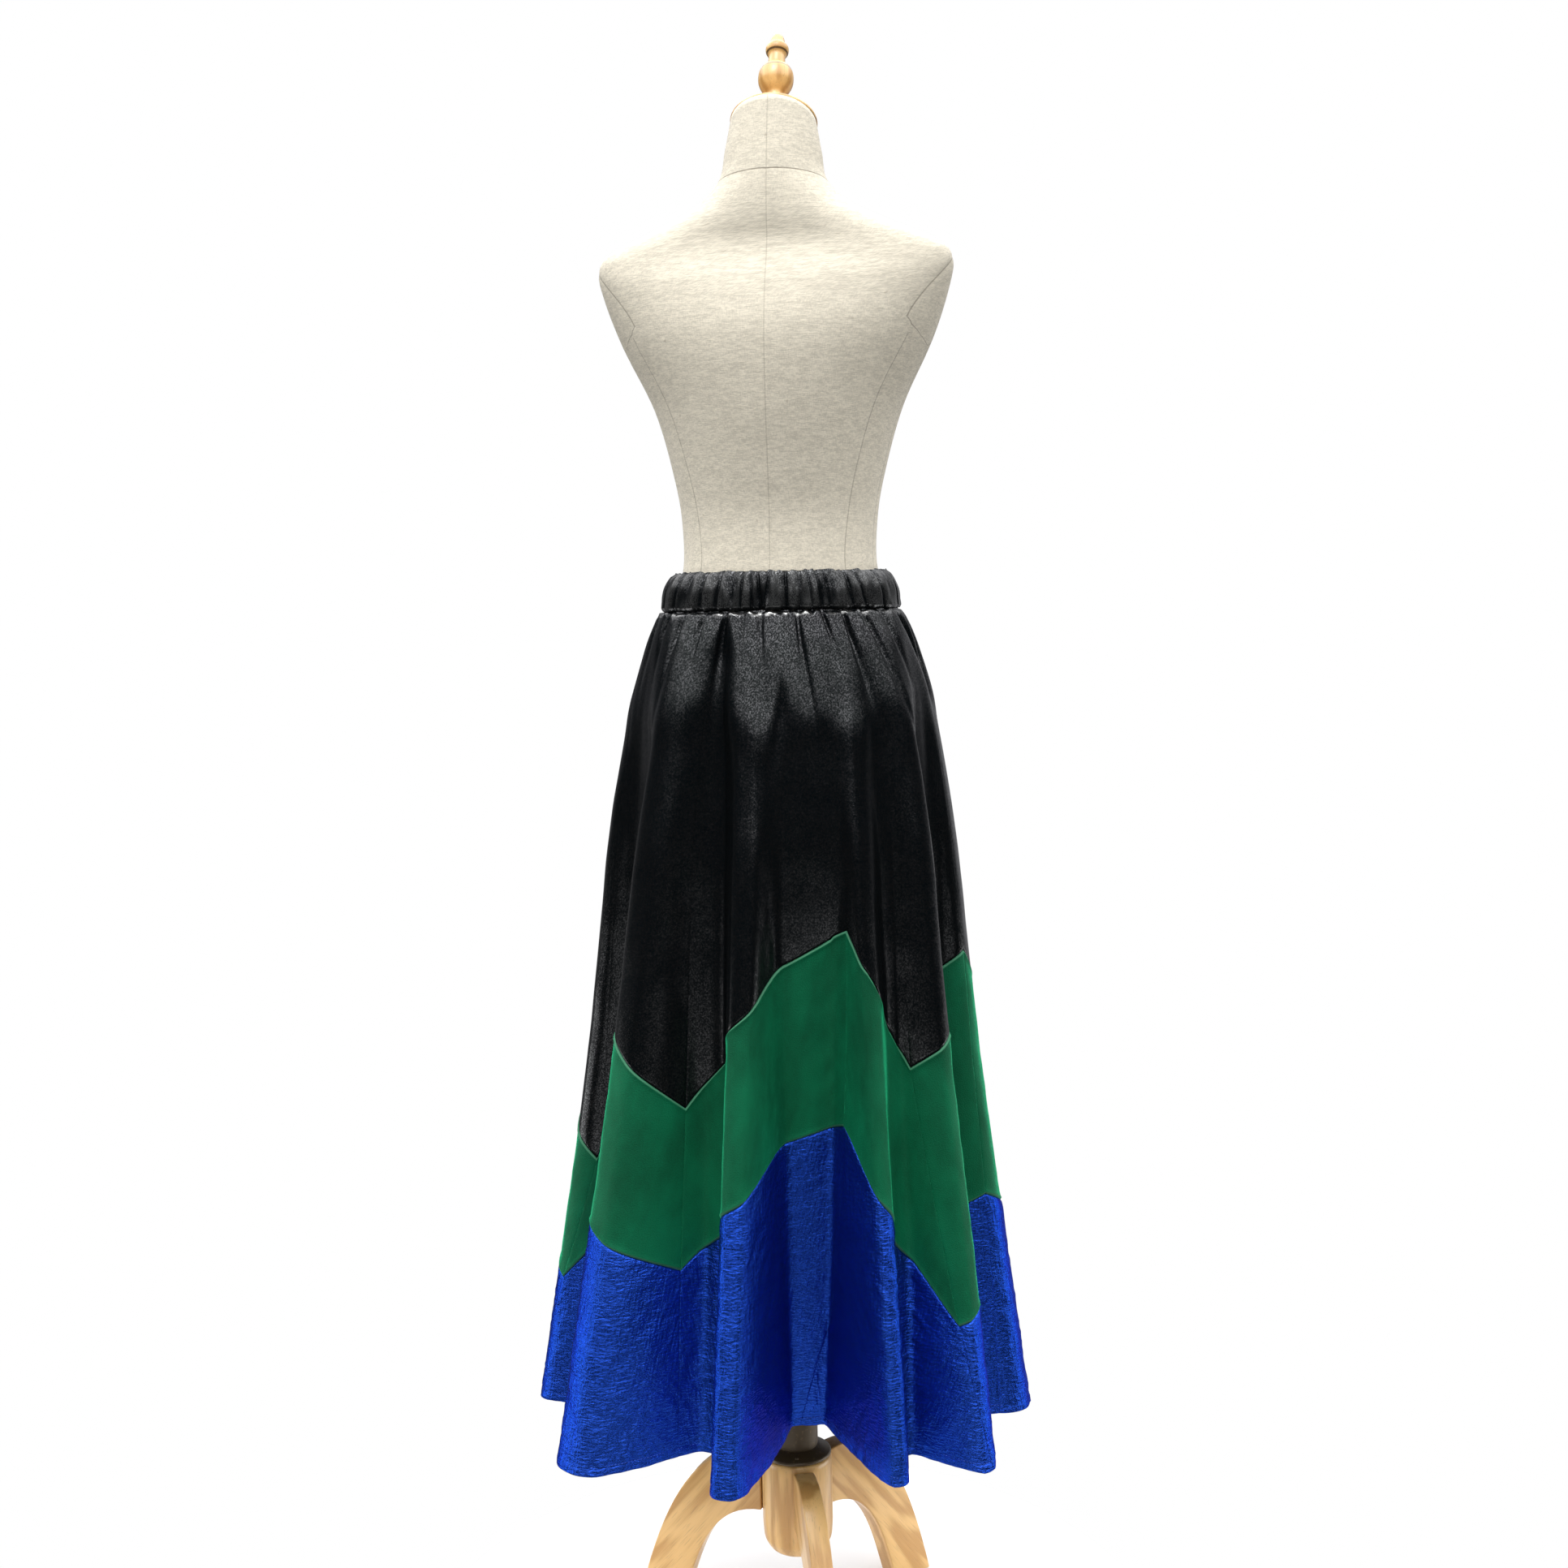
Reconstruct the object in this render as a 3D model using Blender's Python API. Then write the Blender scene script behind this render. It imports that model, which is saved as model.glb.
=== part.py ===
"""Flared skirt of ten pieced gores with a gathered elastic waistband, on a dress form and its tripod.

Metres, +Z up. The origin is on the floor under the middle of the hem. The wearer's back is toward -Y.
The cloth is one surface, read by how far round the waist (around, 0 to 1) and how far down (down, 0 to 1).
"""

import math

import bpy
import bmesh
import numpy as np
from mathutils import Matrix, Vector

# Where the pole and the form's axis stand, so that the origin lies under the middle of the uneven hem
AXIS_X = 0.011
AXIS_Y = 0.004

# Skirt sizes
WAIST_SEAM_Z = 1.173
HEM_Z = 0.290
CLOTH = 0.0015
SEAM_GAP = 0.0003
BORDER_GAP = 0.00045
GORES = 10
GORE_COLUMNS = 14
BLACK_ROWS = 8
GREEN_ROWS = 3
BLUE_ROWS = 4
STEP = 0.0001
SHARP_DEG = 40.0
HEM_SAMPLES = 3601
BORDER_SAMPLES = 201

# Waistband sizes
BAND_HEIGHT = 0.042
BAND_WALL = 0.0025
BAND_RIPPLE = 0.0014
BAND_COLUMNS = ("height", "inset")
BAND = ((SEAM_GAP, 0.0), (0.020, 0.002), (0.038, 0.0045), (BAND_HEIGHT, 0.006))

# Gathers under the waistband: how many, how far they stand out, how far down they fade, and the slow
# waves round the waist that make them uneven (how many, where each starts and how strong it is)
GATHERS = 28
GATHER_OUT = 0.0024
GATHER_FADE = 0.05
GATHER_WAVE_COLUMNS = ("count", "start", "shift", "swell")
GATHER_WAVES = (
    (3, 0.7, 0.35, 0.0),
    (7, 2.1, 0.21, 0.0),
    (5, 2.6, 0.0, 0.2),
)

# How the folds start and grow down the skirt, and where the cloth settles from the gathers into them
FOLD_START = 0.06
FOLD_GROWTH = 0.95
LEAN_GROWTH = 0.7
FOLD_SETTLE = 0.28
FLANK = 2.5

# Half width and half depth of the skirt's outline, at a drop below the waist seam
OUTLINE_COLUMNS = ("drop", "half_width", "half_depth")
OUTLINE = (
    (0.000, 0.1315, 0.1000),
    (0.025, 0.1450, 0.1130),
    (0.055, 0.1560, 0.1240),
    (0.110, 0.1690, 0.1390),
    (0.190, 0.1840, 0.1570),
    (0.250, 0.1930, 0.1700),
    (0.330, 0.2010, 0.1830),
    (0.520, 0.2210, 0.2130),
    (0.690, 0.2440, 0.2420),
    (0.883, 0.2700, 0.2700),
)

# Folds round the hem: where each crests, how far it stands out and the hollow after it goes in, as a
# share of the outline, how wide the hollow's floor is, how late down the skirt the hollow deepens, how
# far the crest leans over its foot, and how far round it swings by the waist
FOLD_COLUMNS = ("crest_deg", "crest_out", "trough_deg", "trough_in", "floor_deg", "trough_growth",
                "lean_deg", "swing_deg")
FOLDS = (
    (-175.0, 0.075, -157.0, 0.44, 2.0, 0.95, -2.0, -3.0),
    (-133.5, 0.190, -115.5, 0.26, 3.0, 0.40, -4.5, -8.0),
    (-99.0, 0.090, -83.5, 0.57, 15.0, 1.60, -5.0, -2.0),
    (-69.5, 0.045, -58.8, 0.17, 2.0, 0.80, 1.0, 6.0),
    (-54.0, 0.130, -36.0, 0.34, 2.0, 0.95, 3.5, 16.0),
    (-18.0, -0.005, -1.0, 0.26, 4.0, 0.95, 3.0, 3.0),
    (14.0, 0.000, 30.0, 0.24, 4.0, 0.95, 0.0, 0.0),
    (47.0, 0.080, 62.0, 0.30, 3.0, 0.95, 4.0, -4.0),
    (80.0, 0.060, 98.0, 0.34, 5.0, 0.95, -5.0, 0.0),
    (113.0, 0.090, 129.0, 0.22, 4.0, 0.95, 5.0, 5.0),
    (146.0, 0.040, 165.0, 0.28, 4.0, 0.95, -3.0, 3.0),
)

# Seams between gores: their angle round the hem, above the black border and at the hem, the drops of
# the black and green border and of the green and blue border, and how far up these bow in the gore after
SEAM_COLUMNS = ("upper_deg", "hem_deg", "black_drop", "green_drop", "bow")
SEAMS = (
    (-123.0, -123.0, 0.519, 0.688, 0.022),
    (-72.5, -88.0, 0.331, 0.537, 0.004),
    (-56.4, -52.2, 0.480, 0.740, 0.000),
    (-22.0, -25.0, 0.372, 0.640, 0.008),
    (14.0, 14.0, 0.560, 0.750, 0.012),
    (57.0, 57.0, 0.390, 0.610, 0.006),
    (96.0, 96.0, 0.550, 0.750, 0.014),
    (135.0, 135.0, 0.380, 0.600, 0.004),
    (-168.0, -178.0, 0.605, 0.742, 0.008),
    (-148.0, -148.0, 0.400, 0.600, 0.000),
)

# Dress form: sections up the body, centred on the axis and turned a little with the hips
FORM_TURN_DEG = -7.6
FORM_SIDES = 32
FORM_COLUMNS = ("height", "half_width", "half_depth", "forward", "tilt_deg")
FORM = (
    (0.913, 0.1400, 0.1000, 0.000, 0.0),
    (0.925, 0.1560, 0.1150, 0.000, 0.0),
    (1.005, 0.1640, 0.1220, 0.000, 0.0),
    (1.075, 0.1520, 0.1160, 0.000, 0.0),
    (1.130, 0.1400, 0.1060, 0.000, 0.0),
    (1.153, 0.1325, 0.1000, 0.000, 0.0),
    (1.173, 0.1270, 0.0955, 0.000, 0.0),
    (1.215, 0.1080, 0.0860, 0.002, 0.0),
    (1.271, 0.1080, 0.0840, 0.006, 0.0),
    (1.323, 0.1170, 0.0930, 0.010, 0.0),
    (1.393, 0.1370, 0.1080, 0.016, 0.0),
    (1.462, 0.1700, 0.1050, 0.012, 0.0),
    (1.515, 0.1890, 0.0820, 0.004, 0.0),
    (1.546, 0.1935, 0.0620, 0.000, 0.0),
    (1.565, 0.1770, 0.0560, 0.000, 0.0),
    (1.586, 0.1290, 0.0560, 0.000, 0.0),
    (1.606, 0.0870, 0.0560, 0.002, 4.0),
    (1.633, 0.0595, 0.0530, 0.005, 8.0),
    (1.665, 0.0530, 0.0500, 0.012, 16.0),
    (1.697, 0.0470, 0.0465, 0.019, 25.0),
)

# Neck cap and finial, turned about an axis that leans forward with the neck's top
TURNED_COLUMNS = ("radius", "height")
TURNED_SIDES = 24
CAP = (
    (0.0000, 0.0003),
    (0.0465, 0.0003),
    (0.0480, 0.0030),
    (0.0468, 0.0060),
    (0.0390, 0.0105),
    (0.0230, 0.0145),
    (0.0000, 0.0160),
)
FINIAL = (
    (0.0000, 0.0163),
    (0.0140, 0.0163),
    (0.0150, 0.0200),
    (0.0100, 0.0240),
    (0.0100, 0.0400),
    (0.0150, 0.0465),
    (0.0190, 0.0550),
    (0.0197, 0.0615),
    (0.0190, 0.0690),
    (0.0150, 0.0760),
    (0.0095, 0.0790),
    (0.0090, 0.0930),
    (0.0128, 0.0975),
    (0.0128, 0.1040),
    (0.0085, 0.1080),
    (0.0072, 0.1160),
    (0.0045, 0.1215),
    (0.0000, 0.1235),
)

# Stand: board under the form, pole, collar, hub and legs
BOARD_BOTTOM_Z = 0.8947
BOARD_TOP_Z = 0.9127
BOARD_IN = 0.012
POLE_RADIUS = 0.0125
POLE_BOTTOM_Z = 0.2533
COLLAR = (
    (0.0000, 0.2063),
    (0.0385, 0.2063),
    (0.0400, 0.2080),
    (0.0390, 0.2105),
    (0.0262, 0.2160),
    (0.0245, 0.2175),
    (0.0245, 0.2500),
    (0.0215, 0.2530),
    (0.0000, 0.2530),
)
HUB = (
    (0.0000, 0.0880),
    (0.0180, 0.0895),
    (0.0320, 0.0960),
    (0.0390, 0.1080),
    (0.0405, 0.1250),
    (0.0405, 0.2000),
    (0.0385, 0.2060),
    (0.0000, 0.2060),
)

# Legs: sawn boards, three round the hub; each outline is a top curve and a bottom curve in the
# board's own plane, distance from the hub's axis and height
LEG_THICK = 0.024
LEG_ANGLES_DEG = (-80.0, 40.0, 160.0)
LEG_CURVE_STEPS = 8
LEG_TOP_CURVE = ((0.0408, 0.200), (0.120, 0.215), (0.165, 0.130), (0.200, 0.000))
LEG_BOTTOM_CURVE = ((0.145, 0.000), (0.125, 0.060), (0.110, 0.135), (0.0408, 0.135))


def column(table, columns, name):
    """Return one named column of a table as an array."""
    place = columns.index(name)
    return np.array([row[place] for row in table])


def smooth_table(x, stops, values):
    """Read a table at x along a smooth curve through its rows."""
    slopes = np.gradient(values, stops)
    x = np.clip(x, stops[0], stops[-1])
    i = np.clip(np.searchsorted(stops, x, side="right") - 1, 0, len(stops) - 2)
    span = stops[i + 1] - stops[i]
    f = (x - stops[i]) / span
    start = values[i] * (1 + 2 * f) * (1 - f) ** 2 + slopes[i] * span * f * (1 - f) ** 2
    end = values[i + 1] * f * f * (3 - 2 * f) + slopes[i + 1] * span * f * f * (f - 1)
    return start + end


def ellipse_radius(angle, half_width, half_depth):
    """Distance from the axis to an ellipse turned with the form, in the direction of angle."""
    a = angle - math.radians(FORM_TURN_DEG)
    return 1.0 / np.sqrt((np.cos(a) / half_width) ** 2 + (np.sin(a) / half_depth) ** 2)


def fold_wave(angle_deg):
    """Return the folds' share of the outline, their growth, lean and swing, at an angle round the hem."""
    crest_at, crest, trough_at, hollow, floor, late, lean, swing = (
        column(FOLDS, FOLD_COLUMNS, name) for name in FOLD_COLUMNS)
    between = (swing + np.roll(swing, -1)) / 2
    steady = np.full(len(FOLDS), FOLD_GROWTH)
    upright = np.zeros(len(FOLDS))
    at_crest = np.stack([crest_at, crest, steady, lean, swing])
    floor_start = np.stack([trough_at - floor / 2, -hollow, late, upright, between])
    floor_end = np.stack([trough_at + floor / 2, -hollow, late, upright, between])
    stops = np.reshape(np.stack([at_crest, floor_start, floor_end], axis=-1), (len(at_crest), -1))
    stops = np.column_stack([stops, stops[:, 0]])
    stops[0, -1] += 360.0
    a = stops[0, 0] + np.mod(angle_deg - stops[0, 0], 360.0)
    i = np.clip(np.searchsorted(stops[0], a, side="right") - 1, 0, stops.shape[1] - 2)
    f = (a - stops[0, i]) / (stops[0, i + 1] - stops[0, i])
    step = f ** FLANK / (f ** FLANK + (1 - f) ** FLANK)
    return stops[1:, i] + (stops[1:, i + 1] - stops[1:, i]) * step


def hem_angles():
    """Angles round the hem, in degrees, at even steps along the cloth, from the first seam round."""
    angle = np.linspace(SEAMS[0][1], SEAMS[0][1] + 360.0, HEM_SAMPLES)
    wave, _, lean, _ = fold_wave(angle)
    turned = np.radians(angle + lean)
    radius = OUTLINE[-1][1] * (1 + wave)
    x, y = radius * np.cos(turned), radius * np.sin(turned)
    length = np.concatenate([[0.0], np.cumsum(np.hypot(np.diff(x), np.diff(y)))])
    around = np.linspace(0.0, 1.0, HEM_SAMPLES)
    return around, np.interp(around * length[-1], length, angle)


AROUND, HEM_ANGLE = hem_angles()
WAIST_START_DEG = float(np.mean(HEM_ANGLE[:-1] - 360.0 * AROUND[:-1]))


def skirt_point(around, down):
    """One point or an array of points of the cloth's outer face."""
    around, down = np.broadcast_arrays(np.asarray(around, float), np.asarray(down, float))
    turns = np.floor(around)
    hem = np.interp(around - turns, AROUND, HEM_ANGLE) + 360.0 * turns
    waist = WAIST_START_DEG + 360.0 * around
    settle = np.clip(down / FOLD_SETTLE, 0.0, 1.0)
    settle = settle * settle * (3 - 2 * settle)
    wave, growth, lean, swing = fold_wave(hem)
    settled = hem + swing * (1 - down) + lean * down ** LEAN_GROWTH
    angle = np.radians(waist + (settled - waist) * settle)
    drops = column(OUTLINE, OUTLINE_COLUMNS, "drop")
    drop = down * (WAIST_SEAM_Z - HEM_Z)
    half_width = smooth_table(drop, drops, column(OUTLINE, OUTLINE_COLUMNS, "half_width"))
    half_depth = smooth_table(drop, drops, column(OUTLINE, OUTLINE_COLUMNS, "half_depth"))
    start = np.clip(down / FOLD_START, 0.0, 1.0)
    fold = wave * down ** growth * start * (2 - start)
    radius = ellipse_radius(angle, half_width, half_depth) * (1 + fold)
    radius = radius + GATHER_OUT * gather_wave(around) * np.exp(-drop / GATHER_FADE)
    return np.stack([radius * np.cos(angle), radius * np.sin(angle), WAIST_SEAM_Z - drop], axis=-1)


def gather_wave(around):
    """Height of the gathers, -1 to 1, unevenly spaced round the waist."""
    turn = 2 * math.pi * around
    count, start, shift, swell = (column(GATHER_WAVES, GATHER_WAVE_COLUMNS, c) for c in GATHER_WAVE_COLUMNS)
    waves = np.sin(count * turn[..., None] + start)
    return np.cos(GATHERS * turn + waves @ shift) * (1 - np.sum(swell) + waves @ swell)


def skirt_normal(around, down):
    """Outward direction of the cloth, from two short steps along it."""
    low = np.clip(np.asarray(down, float) - STEP, 0.0, 1.0)
    high = np.clip(np.asarray(down, float) + STEP, 0.0, 1.0)
    along = skirt_point(around + STEP, down) - skirt_point(around - STEP, down)
    fall = skirt_point(around, high) - skirt_point(around, low)
    normal = np.cross(fall, along)
    return normal / np.linalg.norm(normal, axis=-1, keepdims=True)


def seam_around(seam, down):
    """Where a seam lies round the cloth: straight to its black border, then swaying to its hem end."""
    lap, row = divmod(seam, GORES)
    ends = []
    for name in ("upper_deg", "hem_deg"):
        angle = column(SEAMS, SEAM_COLUMNS, name)[row]
        ends.append(np.interp(HEM_ANGLE[0] + (angle - HEM_ANGLE[0]) % 360.0, HEM_ANGLE, AROUND))
    black = column(SEAMS, SEAM_COLUMNS, "black_drop")[row] / (WAIST_SEAM_Z - HEM_Z)
    share = np.clip((down - black) / (1.0 - black), 0.0, 1.0)
    return lap + ends[0] + (ends[1] - ends[0]) * share


def border_down(gore, share, name):
    """How far down a colour border lies: straight in the cloth, by the cloth's length across one gore."""
    drops = column(SEAMS, SEAM_COLUMNS, name) / (WAIST_SEAM_Z - HEM_Z)
    start, end = drops[gore], drops[(gore + 1) % GORES]
    even = np.linspace(0.0, 1.0, BORDER_SAMPLES)
    down = start + (end - start) * even
    left, right = seam_around(gore, down), seam_around(gore + 1, down)
    step = np.linalg.norm(np.diff(skirt_point(left + (right - left) * even, down)[:, :2], axis=0), axis=-1)
    length = np.concatenate([[0.0], np.cumsum(step)])
    across = np.interp(share, even, length / length[-1])
    bow = column(SEAMS, SEAM_COLUMNS, "bow")[gore] / (WAIST_SEAM_Z - HEM_Z)
    return start + (end - start) * across - 4 * bow * across * (1 - across)


def material(name, colour, roughness, metallic=0.0):
    """A plain Principled material."""
    made = bpy.data.materials.new(name)
    made.use_nodes = True
    shader = made.node_tree.nodes["Principled BSDF"]
    shader.inputs["Base Color"].default_value = (*colour, 1.0)
    shader.inputs["Roughness"].default_value = roughness
    shader.inputs["Metallic"].default_value = metallic
    return made


def add_mesh(name, points, faces, made):
    """Link one smooth-shaded object from points and faces."""
    mesh = bpy.data.meshes.new(name)
    mesh.from_pydata([tuple(p) for p in points], [], faces)
    mesh.shade_smooth()
    mesh.set_sharp_from_angle(angle=math.radians(SHARP_DEG))
    mesh.materials.append(made)
    body = bpy.data.objects.new(name, mesh)
    bpy.context.collection.objects.link(body)
    return body


def wall_faces(rows, columns, ring):
    """Faces of a wall: outer grid, inner grid and the edges between; ring closes it round."""
    inner = rows * columns
    faces = []
    spans = columns if ring else columns - 1
    for r in range(rows - 1):
        for c in range(spans):
            a, b = r * columns + c, r * columns + (c + 1) % columns
            d, e = a + columns, b + columns
            faces.append((a, d, e, b))
            faces.append((inner + a, inner + b, inner + e, inner + d))
    for c in range(spans):
        a, b = c, (c + 1) % columns
        faces.append((a, b, inner + b, inner + a))
        a, b = (rows - 1) * columns + a, (rows - 1) * columns + b
        faces.append((a, inner + a, inner + b, b))
    if not ring:
        for r in range(rows - 1):
            a, b = r * columns, (r + 1) * columns
            faces.append((a, inner + a, inner + b, b))
            a, b = a + columns - 1, b + columns - 1
            faces.append((a, b, inner + b, inner + a))
    return faces


def gore_piece(name, gore, top, bottom, rows, made):
    """One pieced length of a gore, between two borders given as functions of the way across it."""
    across = np.linspace(0.0, 1.0, GORE_COLUMNS + 1)
    outer, inner = [], []
    for r in range(rows + 1):
        share = r / rows
        down = top(across) * (1 - share) + bottom(across) * share
        around = seam_around(gore, down) * (1 - across) + seam_around(gore + 1, down) * across
        points = skirt_point(around, down)
        normals = skirt_normal(around, down)
        for side, step in ((0, 1), (-1, -1)):
            along = skirt_point(around[side] + step * STEP, down[side]) - points[side]
            points[side] += along / np.linalg.norm(along) * SEAM_GAP / 2
        outer.append(points)
        inner.append(points - CLOTH * normals)
    grid = np.concatenate([np.reshape(outer, (-1, 3)), np.reshape(inner, (-1, 3))])
    return add_mesh(name, grid, wall_faces(rows + 1, GORE_COLUMNS + 1, False), made)


def make_gores(black, green, blue):
    """The ten gores, each pieced from black, green and blue cloth."""
    gap = BORDER_GAP / 2 / (WAIST_SEAM_Z - HEM_Z)
    for gore in range(GORES):
        label = f"{gore + 1:02d}"
        gore_piece(f"black_gore_{label}", gore, lambda a: 0.0 * a,
                   lambda a: border_down(gore, a, "black_drop") - gap, BLACK_ROWS, black)
        gore_piece(f"green_gore_{label}", gore, lambda a: border_down(gore, a, "black_drop") + gap,
                   lambda a: border_down(gore, a, "green_drop") - gap, GREEN_ROWS, green)
        gore_piece(f"blue_gore_{label}", gore, lambda a: border_down(gore, a, "green_drop") + gap,
                   lambda a: 0.0 * a + 1.0, BLUE_ROWS, blue)


def make_waistband(black):
    """The gathered elastic band, one ring of cloth that narrows upward."""
    columns = GORES * GORE_COLUMNS
    around = np.arange(columns) / columns
    angle = np.radians(WAIST_START_DEG + 360.0 * around)
    _, half_width, half_depth = OUTLINE[0]
    ripple = BAND_RIPPLE * gather_wave(around)
    outer, inner = [], []
    for height, inset in BAND:
        radius = ellipse_radius(angle, half_width - inset, half_depth - inset) + ripple
        z = np.full(columns, WAIST_SEAM_Z + height)
        for rows, away in ((outer, 0.0), (inner, BAND_WALL)):
            r = radius - away
            rows.append(np.stack([r * np.cos(angle), r * np.sin(angle), z], axis=-1))
    grid = np.concatenate([np.reshape(outer[::-1], (-1, 3)), np.reshape(inner[::-1], (-1, 3))])
    return add_mesh("waistband", grid, wall_faces(len(outer), columns, True), black)


def ring_solid(name, rings, made):
    """A closed solid through rings of points, lowest first, with flat ends."""
    sides = len(rings[0])
    points = np.reshape(rings, (-1, 3))
    faces = [tuple(range(sides - 1, -1, -1))]
    for r in range(len(rings) - 1):
        for c in range(sides):
            a, b = r * sides + c, r * sides + (c + 1) % sides
            faces.append((a, b, b + sides, a + sides))
    last = (len(rings) - 1) * sides
    faces.append(tuple(range(last, last + sides)))
    return add_mesh(name, points, faces, made)


def form_ring(section):
    """One section of the dress form; tilt lowers its front and raises its back."""
    angle = np.linspace(0.0, 2 * math.pi, FORM_SIDES, endpoint=False)
    x, y = section["half_width"] * np.cos(angle), section["half_depth"] * np.sin(angle)
    z = section["height"] - math.tan(math.radians(section["tilt_deg"])) * y
    turn = math.radians(FORM_TURN_DEG)
    y = y + section["forward"]
    return np.stack([x * math.cos(turn) - y * math.sin(turn), x * math.sin(turn) + y * math.cos(turn), z], axis=-1)


def make_torso(linen):
    """The linen-covered body and neck."""
    return ring_solid("torso", [form_ring(dict(zip(FORM_COLUMNS, row))) for row in FORM], linen)


def turned(label, profile, made, place=Matrix.Identity(4)):
    """A turned piece from radius and height rows, lowest first, closed on its axis."""
    mesh = bpy.data.meshes.new(label)
    build = bmesh.new()
    radii, heights = (column(profile, TURNED_COLUMNS, name) for name in TURNED_COLUMNS)
    verts = [build.verts.new((radius, 0.0, height)) for radius, height in zip(radii, heights)]
    edges = [build.edges.new(pair) for pair in zip(verts, verts[1:])]
    bmesh.ops.spin(build, geom=verts + edges, cent=(0, 0, 0), axis=(0, 0, 1), angle=2 * math.pi,
                   steps=TURNED_SIDES, use_merge=True)
    bmesh.ops.remove_doubles(build, verts=build.verts, dist=1e-6)
    bmesh.ops.recalc_face_normals(build, faces=build.faces)
    build.transform(place)
    build.to_mesh(mesh)
    build.free()
    mesh.shade_smooth()
    mesh.set_sharp_from_angle(angle=math.radians(SHARP_DEG))
    mesh.materials.append(made)
    body = bpy.data.objects.new(label, mesh)
    bpy.context.collection.objects.link(body)
    return body


def neck_place():
    """Where the neck's top lies: its centre, with the axis leaning forward."""
    top = dict(zip(FORM_COLUMNS, FORM[-1]))
    turn = Matrix.Rotation(math.radians(FORM_TURN_DEG), 4, "Z")
    lean = Matrix.Rotation(math.radians(-top["tilt_deg"]), 4, "X")
    return turn @ Matrix.Translation((0.0, top["forward"], top["height"])) @ lean


def make_board(wood):
    """The board that closes the form's underside."""
    section = dict(zip(FORM_COLUMNS, FORM[0]))
    section["half_width"] -= BOARD_IN
    section["half_depth"] -= BOARD_IN
    rings = [form_ring({**section, "height": z}) for z in (BOARD_BOTTOM_Z, BOARD_TOP_Z)]
    return ring_solid("base_board", rings, wood)


def make_pole(wood):
    """The pole between the board and the collar."""
    profile = ((0.0, POLE_BOTTOM_Z), (POLE_RADIUS, POLE_BOTTOM_Z),
               (POLE_RADIUS, BOARD_BOTTOM_Z - SEAM_GAP), (0.0, BOARD_BOTTOM_Z - SEAM_GAP))
    return turned("pole", profile, wood)


def curve_points(controls, steps):
    """Points along a cubic curve through its end controls."""
    a, b, c, d = (Vector(p) for p in controls)
    points = []
    for i in range(steps + 1):
        t = i / steps
        points.append((1 - t) ** 3 * a + 3 * t * (1 - t) ** 2 * b + 3 * t * t * (1 - t) * c + t ** 3 * d)
    return points


def make_leg(name, angle_deg, wood):
    """One sawn leg, from its outline in the board's plane, set round the hub."""
    outline = curve_points(LEG_TOP_CURVE, LEG_CURVE_STEPS) + curve_points(LEG_BOTTOM_CURVE, LEG_CURVE_STEPS)
    half = LEG_THICK / 2
    points = [(p.x, side * half, p.y) for side in (-1, 1) for p in outline]
    count = len(outline)
    faces = [tuple(range(count)), tuple(range(2 * count - 1, count - 1, -1))]
    faces += [(i, i + count, (i + 1) % count + count, (i + 1) % count) for i in range(count)]
    leg = add_mesh(name, points, faces, wood)
    build = bmesh.new()
    build.from_mesh(leg.data)
    bmesh.ops.recalc_face_normals(build, faces=build.faces)
    build.to_mesh(leg.data)
    build.free()
    leg.rotation_euler = (0.0, 0.0, math.radians(angle_deg))
    return leg


def stand_on_axis():
    """Hang every piece on one empty at the pole's foot."""
    pieces = list(bpy.context.collection.objects)
    axis = bpy.data.objects.new("axis", None)
    axis.location = (AXIS_X, AXIS_Y, 0.0)
    bpy.context.collection.objects.link(axis)
    for piece in pieces:
        piece.parent = axis


def main():
    """Clear the scene and make every piece."""
    for old in list(bpy.data.objects):
        bpy.data.objects.remove(old)
    black = material("black_cloth", (0.008, 0.008, 0.010), 0.7)
    green = material("green_velvet", (0.010, 0.130, 0.055), 0.6)
    blue = material("blue_satin", (0.010, 0.035, 0.330), 0.35)
    linen = material("linen", (0.600, 0.560, 0.450), 0.9)
    wood = material("pale_wood", (0.620, 0.400, 0.160), 0.5)
    dark_metal = material("dark_metal", (0.030, 0.028, 0.026), 0.35, 0.9)
    make_waistband(black)
    make_gores(black, green, blue)
    make_torso(linen)
    turned("neck_cap", CAP, wood, neck_place())
    turned("finial", FINIAL, wood, neck_place())
    make_board(wood)
    make_pole(wood)
    turned("collar", COLLAR, dark_metal)
    turned("hub", HUB, wood)
    for number, angle_deg in enumerate(LEG_ANGLES_DEG, start=1):
        make_leg(f"leg_{number}", angle_deg, wood)
    stand_on_axis()


main()
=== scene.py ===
"""Flared skirt of ten pieced gores on a dress form and its tripod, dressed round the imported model.

The cloth is one surface, read by how far round the waist (around, 0 to 1) and how far down (down, 0 to 1).
Each piece of cloth is a thin shell on that surface, with its gathers, creases, seams and crinkle in relief.
Metres, +Z up. The wearer's back is toward -Y.
"""

import math

import bmesh
import bpy
import numpy as np
from bpy.props import FloatProperty, FloatVectorProperty, IntProperty, PointerProperty
from bpy.types import Operator, Panel, PropertyGroup
from mathutils import Matrix, Vector


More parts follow.
